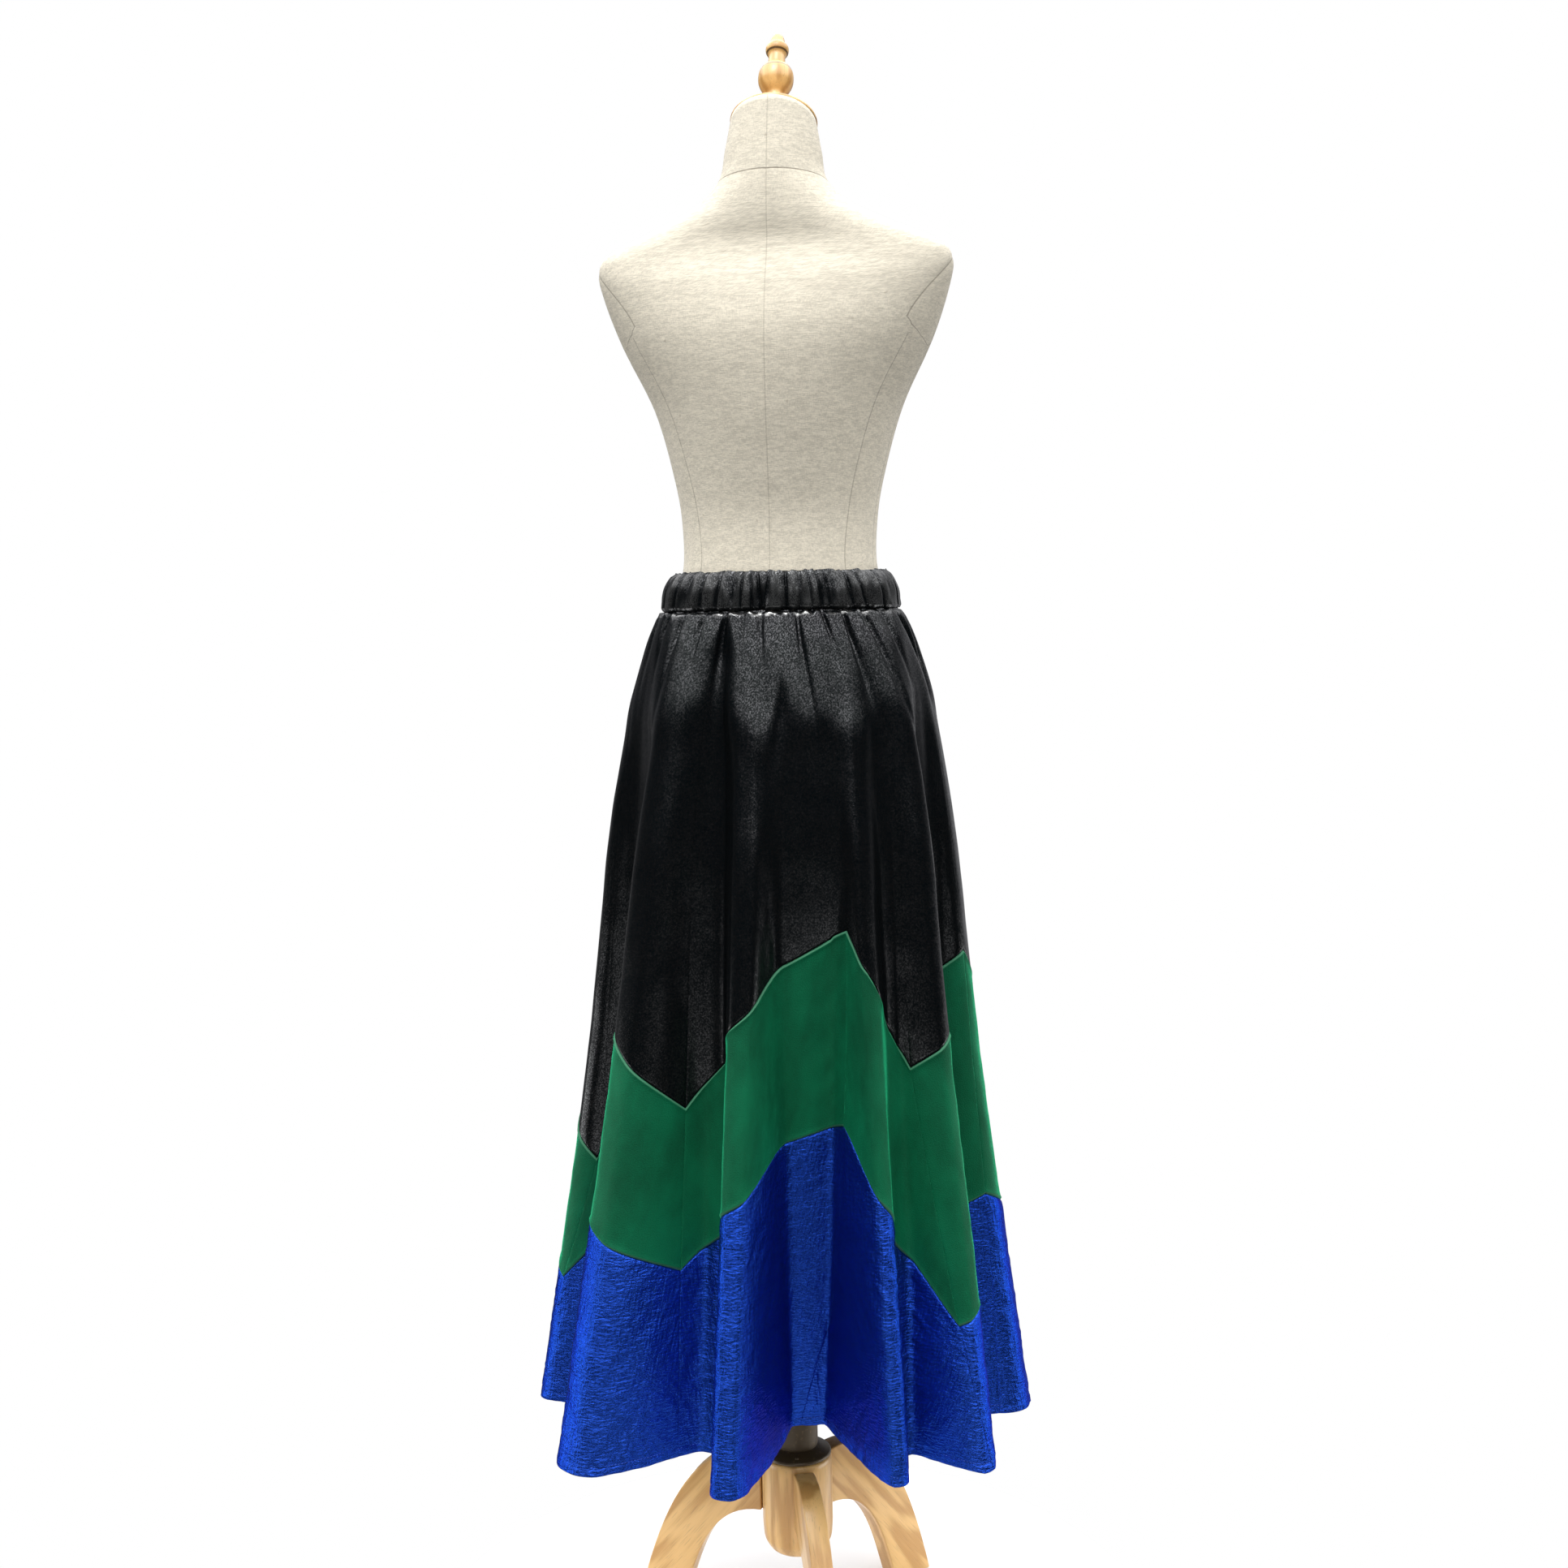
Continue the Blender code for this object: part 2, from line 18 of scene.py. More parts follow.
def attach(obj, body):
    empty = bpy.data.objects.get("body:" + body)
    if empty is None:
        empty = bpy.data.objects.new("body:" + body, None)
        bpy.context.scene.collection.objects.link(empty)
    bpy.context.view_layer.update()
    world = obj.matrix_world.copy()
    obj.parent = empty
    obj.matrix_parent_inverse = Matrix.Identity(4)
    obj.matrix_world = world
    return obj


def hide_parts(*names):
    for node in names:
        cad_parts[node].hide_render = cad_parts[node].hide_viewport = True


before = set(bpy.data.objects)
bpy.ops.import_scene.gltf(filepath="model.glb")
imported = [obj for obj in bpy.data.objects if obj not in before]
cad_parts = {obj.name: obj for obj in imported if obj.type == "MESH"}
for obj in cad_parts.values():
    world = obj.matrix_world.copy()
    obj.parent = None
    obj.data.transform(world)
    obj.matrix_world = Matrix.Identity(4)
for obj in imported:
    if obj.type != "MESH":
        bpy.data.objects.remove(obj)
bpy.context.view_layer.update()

bl_info = {
    "name": "Flared skirt on a dress form",
    "version": (1, 0, 0),
    "blender": (4, 5, 0),
    "location": "View3D > Sidebar > Skirt",
    "description": "Makes the cloth, the dress form, the stand and the stage round the packed model",
    "category": "Add Mesh",
}


def table(names, *rows):
    """Rows of numbers as named columns."""
    return dict(zip(names.split(), np.array(rows, float).T))


# Where the pole and the form's axis stand
AXIS_X = 0.011
AXIS_Y = 0.004

# Skirt sizes, as in the part
WAIST_SEAM_Z = 1.173
HEM_Z = 0.290
LENGTH = WAIST_SEAM_Z - HEM_Z
CLOTH = 0.0015
BORDER_GAP = 0.00045
GORES = 10
FOLD_START = 0.06
FOLD_GROWTH = 0.95
LEAN_GROWTH = 0.7
FOLD_SETTLE = 0.28
FLANK = 2.5
FORM_TURN_DEG = -7.6

# Grids of cloth: how far from a seam or a border their first rows lie, the share of a turn or of the length
# that slopes are taken over, the samples round the hem and across a border, and how far down a gore its
# width is taken
GORE_EDGE = (0.0, 0.0006, 0.0014, 0.0025, 0.0040)
BLACK_EDGE = (0.0, 0.0004, 0.0009, 0.0015, 0.0023, 0.0034, 0.0050, 0.0075, 0.0105)
STEP = 0.0001
HEM_SAMPLES = 3601
BORDER_SAMPLES = 201
CUT_ROW = 0.8

# How far the seams of each colour dip, and how high their puckers are
SEAM_DIPS = {"black": (0.00012, 0.00004), "green": (0.00022, 0.00010), "blue": (0.00015, 0.00010)}

# Half width and half depth of the skirt's outline, at a drop below the waist seam
OUTLINE = table(
    "drop half_width half_depth",
    (0, 0.1315, 0.1), (0.025, 0.145, 0.113), (0.055, 0.156, 0.124), (0.11, 0.169, 0.139),
    (0.19, 0.184, 0.157), (0.25, 0.193, 0.17), (0.33, 0.201, 0.183), (0.52, 0.221, 0.213),
    (0.69, 0.244, 0.242), (0.883, 0.27, 0.27),
)

# Folds round the hem: where each crests, how far it stands out and the hollow after it goes in, as a
# share of the outline, how wide the hollow's floor is, how late down the skirt the hollow deepens, how
# far the crest leans over its foot, and how far round it swings by the waist
FOLDS = table(
    "crest_deg crest_out trough_deg trough_in floor_deg trough_growth lean_deg swing_deg",
    (-175, 0.075, -157, 0.44, 2, 0.95, -2, -3), (-133.5, 0.19, -115.5, 0.26, 3, 0.4, -4.5, -8),
    (-99, 0.09, -83.5, 0.57, 15, 1.6, -5, -2), (-69.5, 0.045, -58.8, 0.17, 2, 0.8, 1, 6),
    (-54, 0.13, -36, 0.34, 2, 0.95, 3.5, 16), (-18, -0.005, -1, 0.26, 4, 0.95, 3, 3),
    (14, 0, 30, 0.24, 4, 0.95, 0, 0), (47, 0.08, 62, 0.3, 3, 0.95, 4, -4),
    (80, 0.06, 98, 0.34, 5, 0.95, -5, 0), (113, 0.09, 129, 0.22, 4, 0.95, 5, 5),
    (146, 0.04, 165, 0.28, 4, 0.95, -3, 3),
)

# Seams between gores: their angle round the hem, above the black border and at the hem, the drops of
# the black and green border and of the green and blue border, and how far up these bow in the gore after
SEAMS = table(
    "upper_deg hem_deg black_drop green_drop bow",
    (-123, -123, 0.519, 0.688, 0.022), (-72.5, -88, 0.331, 0.537, 0.004), (-56.4, -52.2, 0.48, 0.74, 0),
    (-22, -25, 0.372, 0.64, 0.008), (14, 14, 0.56, 0.75, 0.012), (57, 57, 0.39, 0.61, 0.006),
    (96, 96, 0.55, 0.75, 0.014), (135, 135, 0.38, 0.6, 0.004), (-168, -178, 0.605, 0.742, 0.008),
    (-148, -148, 0.4, 0.6, 0),
)

# Gathers under the waistband: each hollow's place round the waist, how deep and how wide it is, how
# far down it fades and how far round it drifts by then
GATHERS = table(
    "waist_deg depth width_deg length drift_deg",
    (-174, 0.0048, 1.8, 0.05, 0), (-161.3, 0.0036, 1.6, 0.06, -1), (-149.3, 0.0044, 1.5, 0.07, -1),
    (-136.2, 0.006, 1.4, 0.04, 0), (-123, 0.0064, 1.5, 0.07, -1), (-112.4, 0.0036, 1.1, 0.03, 1),
    (-102.1, 0.0056, 1.8, 0.06, 2), (-93.7, 0.0034, 0.8, 0.016, 0), (-87, 0.004, 0.8, 0.02, 0),
    (-80.6, 0.0086, 1.3, 0.085, 1), (-66.5, 0.005, 1, 0.028, 2), (-55.2, 0.0078, 1.4, 0.06, 3),
    (-44, 0.0056, 1.3, 0.09, 7), (-33, 0.0044, 1.2, 0.05, 5), (-19, 0.0078, 1.8, 0.07, 9),
    (-8, 0.009, 2.2, 0.085, 1), (7, 0.0046, 1.6, 0.05, 0), (19, 0.004, 1.2, 0.04, 1),
    (31, 0.0074, 1.9, 0.09, 1), (44, 0.0036, 1.1, 0.03, 0), (55, 0.006, 1.4, 0.07, -1),
    (67, 0.0044, 1.1, 0.036, 1), (79, 0.008, 1.7, 0.08, 1), (90, 0.0036, 0.9, 0.02, 0),
    (100, 0.0072, 1.6, 0.075, -1), (113, 0.0044, 1.2, 0.04, 0), (124, 0.0062, 1.5, 0.06, -1),
    (137, 0.0046, 1.2, 0.036, 0), (149, 0.0066, 1.6, 0.08, -2), (161, 0.0042, 1.2, 0.04, 0),
    (174, 0.006, 1.6, 0.065, 0),
)

# Break under the gathers, where the cloth turns from swelling out to hanging: how far down it lies round
# the waist, how far it stands out and how soft it is
BREAK = table(
    "waist_deg drop",
    (-180, 0.105), (-150, 0.112), (-128, 0.098), (-112, 0.11), (-99, 0.135), (-93.5, 0.11), (-89, 0.052),
    (-84, 0.112), (-70, 0.112), (-58, 0.13), (-47, 0.096), (-36, 0.11), (-15, 0.085), (10, 0.11),
    (35, 0.09), (60, 0.115), (90, 0.085), (120, 0.112), (150, 0.09), (180, 0.105),
)
BREAK_HEIGHT = 0.0022
BREAK_SOFT = 0.030

# Cloth just below the waist seam: how soon it turns out, how far it swells and over what drop that and the
# puff fade, how far down its frill reaches, how deep a gather may go and from what depth it takes all of
# the swelling away, how far in the seam itself lies, and how far its edge is lifted to the band
TUCK = 0.0030
SWELL = 0.0012
SWELL_FADE = 0.020
PUFF_FADE = 0.035
FRILL_FADE = 0.012
GATHER_LIMIT = 0.0010
GATHER_SLOPE = 0.20
GATHER_FULL = 0.005
SEAM_SINK = 0.0024
WAIST_LIFT = 0.0016
WAIST_LIFT_FADE = 0.0008

# Painted highlight along a ridge of the gathers: how far down it lies and how wide it is
RIDGE_DROP = 0.0038
RIDGE_WIDTH = 0.0010

# Long soft creases: each one's place round the hem, where it starts and ends down the skirt, how far
# it stands out or goes in, and how wide it is
CREASES = table(
    "hem_deg top_drop end_drop height width_deg",
    (-146, 0.12, 0.46, -0.003, 3), (-124.5, 0.1, 0.56, -0.0022, 2), (-118.5, 0.5, 0.78, -0.0026, 1.8),
    (-109, 0.06, 0.5, 0.002, 2), (-97, 0.08, 0.42, 0.0026, 2.4), (-90.5, 0.1, 0.34, -0.003, 2),
    (-77, 0.28, 0.62, -0.0026, 1.8), (-70, 0.1, 0.4, 0.0024, 2), (-64, 0.46, 0.84, -0.002, 1.6),
    (-57, 0.44, 0.78, -0.003, 1.6), (-47, 0.07, 0.36, 0.0026, 3), (-40, 0.08, 0.42, -0.0032, 2.4),
    (-30, 0.16, 0.5, 0.002, 2), (-8, 0.12, 0.44, -0.0026, 2.4), (7, 0.2, 0.6, 0.0022, 2.4),
    (24, 0.1, 0.4, -0.0026, 2.6), (40, 0.24, 0.66, 0.002, 2), (52, 0.08, 0.36, 0.0024, 2.4),
    (70, 0.3, 0.7, -0.0026, 2), (88, 0.12, 0.48, -0.0026, 2), (104, 0.1, 0.42, 0.0024, 2.2),
    (121, 0.34, 0.74, -0.0022, 2), (138, 0.08, 0.44, 0.0024, 2.4), (156, 0.16, 0.52, -0.0026, 2.2),
    (171, 0.12, 0.46, 0.0022, 2.2),
)

# Unevenness of the cloth: how strong it is, how many waves it has round the skirt and to a metre down (or
# up the height of the band), and its seed
UNEVEN = {
    "cloth": (0.0004, 80.0, 1 / 0.035, 7),
    "swell": (0.35, 60.0, 20.0, 3),
    "tuck": (0.7, 120.0, 0.0, 6),
    "frill": (0.0011, 190.0, 100.0, 4),
    # lit and ridge vary the painted highlight along the gathers' ridge
    "lit": (1.4, 110.0, 0.0, 15),
    "ridge": (0.0012, 150.0, 0.0, 16),
    "pile": (0.0003, 200.0, 1 / 0.012, 8),
    "pucker": (0.0011, 3 / 0.011, 0.0, 9),
    "hem": (0.0007, 3 / 0.017, 0.0, 10),
    "casing": (0.0010, 75.0, 1.7, 11),
    "fine_casing": (0.0006, 170.0, 3.0, 14),
    "ruffle": (0.0005, 230.0, 0.0, 12),
    "top": (0.0011, 170.0, 0.0, 13),
}

# Satin's wrinkles, falling and rising across a gore: how far they are turned, their length and width, and
# their seed
WRINKLES = ((48.0, 0.050, 0.0085, 20), (-55.0, 0.040, 0.0075, 40))

# Relief beside a seam, a border and the hem's stitches: how deep or high it is and how far from them it
# reaches. The velvet's pile stands up a little way in from its edge, and the satin's wrinkles fade out
# toward a seam or a border. Patches of falling and of rising wrinkles are PICK_SIZE across.
SEAM_REACH = 0.0014
PUCKER_REACH = 0.006
PUCKER_LENGTH = 0.009
PUCKER_WAVES = 6.0
BORDER_DIP = 0.0009
BORDER_REACH = 0.0011
STITCH_DIP = 0.0008
STITCH_REACH = 0.0012
STITCH_PUCKER = 0.010
STITCH_PATH = 1500
PILE_EDGE = 0.0022
PILE_WIDTH = 0.0012
PILE_GAP = 0.0008
PICK_SIZE = 0.07
LEVEL_SIZE = (0.012, 0.0060)
SATIN_BORDER_FADE = 0.006
SATIN_SEAM_FADE = 0.004
TURNING_RISE = 0.0004
HEM_WAVE_REACH = 0.008

# Waistband: its height, wall and length round, the rows up it, how its foot closes and its upper edge turns
# over, which raised parts of its relief get a painted highlight, the soft casing between its creases, how
# much deeper and wider than in their table these are, and the tuck of its upper edge
BAND_HEIGHT = 0.042
BAND_WALL = 0.0025
BAND_SIDES = 1000
BAND_ROUND = 0.78
BAND_TOP = 0.0385
BAND_FOOT = (0.0, 0.0005, 0.0012, 0.0022, 0.0036)
BAND_ROWS_START = 0.006
BAND_ROWS = 14
BAND_FOOT_IN = 0.0006
BAND_FOOT_FADE = 0.0010
BAND_INNER_OUT = 0.0010
BAND_INNER_FADE = 0.004
BAND_EDGE_Z = 0.0400
BAND_EDGE_RISE = 0.0020
BAND_EDGE_TURNS_DEG = (25.0, 55.0, 80.0)
BAND_PAINTED_HIGHLIGHT = 0.075
BAND_HIGHLIGHT_FROM = 0.0006
BAND_HIGHLIGHT_OVER = 0.0014
CASING_OUT = 0.0022
CASING_FOOT = 0.10
CASING_TAPER = 0.0006
RUFFLE_FROM = 0.80
CREASE_DEPTH = 1.5
CREASE_WIDTH = 1.2
TUCK_FROM = 0.35
TUCK_LEAST = 0.002
TUCK_AT_SIDES = 0.008

# How far in the band leans at a height, and the creases that the elastic draws in it
BAND = table("height inset", (0.0003, 0), (0.02, 0.002), (0.038, 0.0045), (0.042, 0.006))
BAND_CREASES = table(
    "waist_deg slant_deg depth width_deg",
    (-172, 1, 0.0015, 0.9), (-159.8, 2.5, 0.0018, 0.9), (-150.5, 1, 0.0008, 1.4), (-140.7, 1, 0.0016, 0.7),
    (-129.6, 2, 0.0018, 0.7), (-121, 0.5, 0.0007, 1.2), (-114.4, 0.6, 0.0015, 0.6),
    (-108.1, -1, 0.0012, 0.5), (-103.2, -3.2, 0.0019, 0.6), (-98.4, 4, 0.0014, 0.6),
    (-86.3, -0.8, 0.002, 0.7), (-78, 0, 0.0006, 1), (-71.9, -2, 0.0012, 0.5), (-66.6, -2, 0.0017, 0.6),
    (-62, -2.4, 0.0012, 0.5), (-48.9, -2.5, 0.0018, 0.7), (-42, -4.5, 0.0014, 0.7),
    (-28.9, -2, 0.0016, 0.8), (-14, -1, 0.0018, 0.9), (-3, 1, 0.0014, 0.8), (9, 2, 0.0017, 0.8),
    (22, -1, 0.0012, 0.7), (34, 0, 0.0019, 0.8), (43, 2, 0.001, 0.6), (56, -2, 0.0017, 0.7),
    (65, 1, 0.0014, 0.6), (78, 2, 0.0019, 0.7), (87, -3, 0.0013, 0.6), (93, 3, 0.0016, 0.6),
    (105, 0, 0.0018, 0.7), (117, -2, 0.0012, 0.7), (126, 1, 0.0018, 0.7), (139, 2, 0.0015, 0.8),
    (150, -1, 0.0019, 0.8), (163, 0, 0.0013, 0.8), (176, 2, 0.0017, 0.9),
)

# Dress form: sections up the body, and the seams of its linen by height, as degrees round from the side
FORM = table(
    "height half_width half_depth forward tilt_deg",
    (0.913, 0.14, 0.1, 0, 0), (0.925, 0.156, 0.115, 0, 0), (1.005, 0.164, 0.122, 0, 0),
    (1.075, 0.152, 0.116, 0, 0), (1.13, 0.14, 0.106, 0, 0), (1.153, 0.1325, 0.1, 0, 0),
    (1.173, 0.127, 0.0955, 0, 0), (1.215, 0.108, 0.086, 0.002, 0), (1.271, 0.108, 0.084, 0.006, 0),
    (1.323, 0.117, 0.093, 0.01, 0), (1.393, 0.137, 0.108, 0.016, 0), (1.462, 0.17, 0.105, 0.012, 0),
    (1.515, 0.189, 0.082, 0.004, 0), (1.546, 0.1935, 0.062, 0, 0), (1.565, 0.177, 0.056, 0, 0),
    (1.586, 0.129, 0.056, 0, 0), (1.606, 0.087, 0.056, 0.002, 4), (1.633, 0.0595, 0.053, 0.005, 8),
    (1.665, 0.053, 0.05, 0.012, 16), (1.697, 0.047, 0.0465, 0.019, 25),
)
FORM_ROWS = len(FORM["height"])
PANELS = table(
    "height princess_deg side_deg",
    (0.913, 46, 13), (1.235, 43, 11), (1.32, 39, 8.5), (1.367, 36.5, 7), (1.425, 33, 4), (1.48, 28.5, 1),
    (1.542, 20, -6),
)

# Radius that the linen's weave is laid at, steps from section to section, and the places of other seams
LINEN_ROUND = table("height radius", (0.9, 0.12), (1.5, 0.12), (1.6, 0.06), (1.7, 0.05))
FORM_STEPS = 7
GROOVE_REACH = 0.0022
NECK_SEAM_ROW = 16.92
NECK_ROW_HEIGHT = 0.031
ARMHOLE_Z = 1.478
ARMHOLE_ABOVE = 0.068
ARMHOLE_BELOW = 0.024
ARMHOLE_HALF_DEPTH = 0.046
ARMHOLE_CORNER = 1.35

# How dark each seam of the linen is
SEAM_SHADES = {"centre_seam": 0.24, "princess_seam": 0.40, "side_seam": 0.40, "armhole_seam": 0.50,
               "neck_seam": 0.60}

# Turned pieces, radius and height, lowest first, and how far their corners are eased: neck cap and finial
# along the neck's lean, then the stand
CAP_EASE = 0.0014
FINIAL_EASE = 0.0030
PIN_EASE = 0.0005
COLLAR_EASE = 0.0012
HUB_EASE = 0.0040
POLE_EASE = 0.0008
EASE_STEPS = 5
CAP = (
    (0, 0.0003), (0.0465, 0.0003), (0.048, 0.003), (0.0468, 0.006), (0.039, 0.0105), (0.023, 0.0145),
    (0, 0.016),
)
FINIAL = (
    (0, 0.0163), (0.014, 0.0163), (0.015, 0.02), (0.01, 0.024), (0.01, 0.04), (0.015, 0.0465),
    (0.019, 0.055), (0.0197, 0.0615), (0.019, 0.069), (0.015, 0.076), (0.0095, 0.079), (0.009, 0.093),
    (0.0128, 0.0975), (0.0128, 0.104), (0.0085, 0.108), (0.0072, 0.116), (0.0045, 0.1215), (0, 0.1235),
)
COLLAR = (
    (0, 0.2063), (0.0385, 0.2063), (0.04, 0.208), (0.039, 0.2105), (0.0262, 0.216), (0.0236, 0.2166),
    (0.0236, 0.2172), (0.0245, 0.218), (0.0245, 0.25), (0.0215, 0.253), (0, 0.253),
)
HUB = (
    (0, 0.088), (0.018, 0.0895), (0.032, 0.096), (0.039, 0.108), (0.0405, 0.125), (0.0405, 0.2),
    (0.0385, 0.206), (0, 0.206),
)
POLE = ((0.0, 0.2533), (0.0125, 0.2533), (0.0125, 0.8944), (0.0, 0.8944))

# Heights of the dark lines painted round the cap and the finial: a dark line at the cap's foot, and painted
# shade along the top of the finial's ball and under its disc
LINE_NAMES = ("first_line", "second_line")
CAP_LINES = (0.0008,)
FINIAL_LINES = (0.0698, 0.0960)

# Pin on the collar's slope: its profile, how far out and how high it sits, its tilt and its faces round
PIN = ((0.0000, -0.0005), (0.0022, -0.0005), (0.0020, 0.0008), (0.0000, 0.0016))
PIN_OUT = 0.0326
PIN_Z = 0.2134
PIN_TILT_DEG = 23.0
PIN_SIDES = 24

# Board under the form: its height, how far inside the form it ends, its edge and its faces round
BOARD_BOTTOM_Z = 0.8947
BOARD_TOP_Z = 0.9127
BOARD_IN = 0.012
BOARD_EDGE = 0.0015
BOARD_SIDES = 96

# Legs: sawn boards, each outline a top curve and a bottom curve in the board's own plane
LEG_THICK = 0.024
LEG_STEPS = 20
LEG_GRAIN_DEG = 50.0
LEG_ANGLES_DEG = (-80.0, 40.0, 160.0)
LEG_TOP_CURVE = ((0.0408, 0.200), (0.120, 0.215), (0.165, 0.130), (0.200, 0.000))
LEG_BOTTOM_CURVE = ((0.145, 0.000), (0.125, 0.060), (0.110, 0.135), (0.0408, 0.135))

# Camera: how far back from the axis it stands, its height, its tilt and its roll
CAMERA_BACK = 2.07
CAMERA_Z = 1.177
CAMERA_PITCH_DEG = 5.44
CAMERA_ROLL_DEG = -1.1

# Room: brightness by height (0 straight down, 0.5 level, 1 straight up) and beyond the form, then its
# floor
ROOM_STRENGTH = 1.0
ROOM_STOPS = (
    (0.000, (0.05, 0.05, 0.05)),
    (0.480, (0.05, 0.05, 0.05)),
    (0.505, (0.03, 0.03, 0.03)),
    (0.530, (0.012, 0.014, 0.018)),
    (0.705, (0.014, 0.016, 0.022)),
    (0.730, (2.75, 2.76, 2.80)),
    (1.000, (3.00, 3.00, 3.05)),
)
ROOM_BEYOND = (0.50, 0.50, 0.52)
FLOOR_GLOW = 0.4
FLOOR_RADIUS = 0.42

# Lights: the setting with each one's power, where it stands, where it looks, its width and its height
LIGHTS = (
    ("key", (-0.25, -0.80, 3.60), (0.0, 0.0, 1.1), (0.9, 0.9)),
    ("card", (-0.45, -3.30, 0.00), (0.0, 0.0, 0.50), (5.0, 0.8)),
    ("right", (2.00, 0.10, 0.15), (0.0, 0.0, 0.45), (1.6, 0.8)),
    ("left", (-2.00, 0.10, 0.15), (0.0, 0.0, 0.45), (1.6, 0.8)),
)


def paint(name, description, default):
    """A colour setting."""
    return FloatVectorProperty(name=name, description=description, subtype="COLOR", size=3, default=default,
                               min=0.0, max=1.0)


def size(name, description, default, least=0.0):
    """A setting in metres."""
    return FloatProperty(name=name, description=description, unit="LENGTH", default=default, min=least)


def plain(name, description, default):
    """A setting without a unit."""
    return FloatProperty(name=name, description=description, default=default, min=0.0)


def faces_round(name, description, default):
    """A number of faces."""
    return IntProperty(name=name, description=description, default=default, min=24)


class SkirtSettings(PropertyGroup):
    """Sizes and colours of the cloth."""

    black: paint("Black cloth", "Colour of the band and the upper gores", (0.0012, 0.0022, 0.0028))
    green: paint("Green velvet", "Colour of the middle gores", (0.0012, 0.088, 0.037))
    blue: paint("Blue satin", "Colour of the lower gores", (0.015, 0.062, 0.410))
    black_mesh: size("Black grid", "Width of the upper gores' faces", 0.0055, 0.002)
    green_mesh: size("Green grid", "Width of the middle gores' faces", 0.0045, 0.002)
    blue_mesh: size("Blue grid", "Width of the lower gores' faces", 0.0032, 0.002)
    puff: size("Puff", "How far the cloth swells out of the waist seam", 0.0022)
    crinkle: size("Crinkle", "Height of the satin's crinkle", 0.0009)
    turning: size("Hem turning", "Height of the turned hem", 0.009)
    stitch_pitch: size("Stitch pitch", "From one hem stitch to the next", 0.0036)
    stitch_length: size("Stitch length", "Length of one hem stitch", 0.0026)
    stitch_radius: size("Stitch radius", "Half the thread's thickness", 0.0003)


class FormSettings(PropertyGroup):
    """Sizes and colours of the dress form and its stand."""

    linen: paint("Linen", "Colour of the form's cover", (0.640, 0.590, 0.480))
    wood: paint("Wood", "Colour of the stand and the finial", (0.650, 0.385, 0.130))
    sides: faces_round("Form sides", "Faces round the body", 240)
    turned_sides: faces_round("Turned sides", "Faces round a turned piece", 72)
    groove: size("Seam groove", "Depth of the linen's seams", 0.0007)
    edge: size("Leg edge", "Rounding of the legs' edges", 0.0025)


class StageSettings(PropertyGroup):
    """Floor, light and lens."""

    floor: paint("Floor", "Colour of the floor", (0.72, 0.72, 0.72))
    key: plain("Key light", "Power of the overhead light", 26.0)
    card: plain("Light card", "Power of the low card behind the camera", 17.0)
    right: plain("Right light", "Power of the low light at the right", 14.0)
    left: plain("Left light", "Power of the low light at the left", 15.0)
    lens: plain("Lens", "Focal length, in millimetres", 42.86)


def math_method(operation, swapped=False):
    """A method that joins a socket and another value in one Math node."""
    def method(self, other):
        return self.math(operation, *((other, self) if swapped else (self, other)))
    return method


class Socket:
    """One output in a node tree, for sums in plain expressions."""

    def __init__(self, tree, output):
        self.tree = tree
        self.output = output

    def math(self, operation, *values):
        return self.tree.node("ShaderNodeMath", {"operation": operation}, dict(enumerate(values)))

    __add__ = math_method("ADD")
    __radd__ = math_method("ADD", True)
    __sub__ = math_method("SUBTRACT")
    __rsub__ = math_method("SUBTRACT", True)
    __mul__ = math_method("MULTIPLY")
    least = math_method("MINIMUM")
    most = math_method("MAXIMUM")

    def __abs__(self):
        return self.math("ABSOLUTE", self)

    def sine(self):
        return self.math("SINE", self)

    def smooth(self, low, high):
        """0 below low and 1 above high, with a soft step between."""
        settings = {"interpolation_type": "SMOOTHSTEP", "clamp": True}
        values = {"Value": self, "From Min": low, "From Max": high}
        return self.tree.node("ShaderNodeMapRange", settings, values)


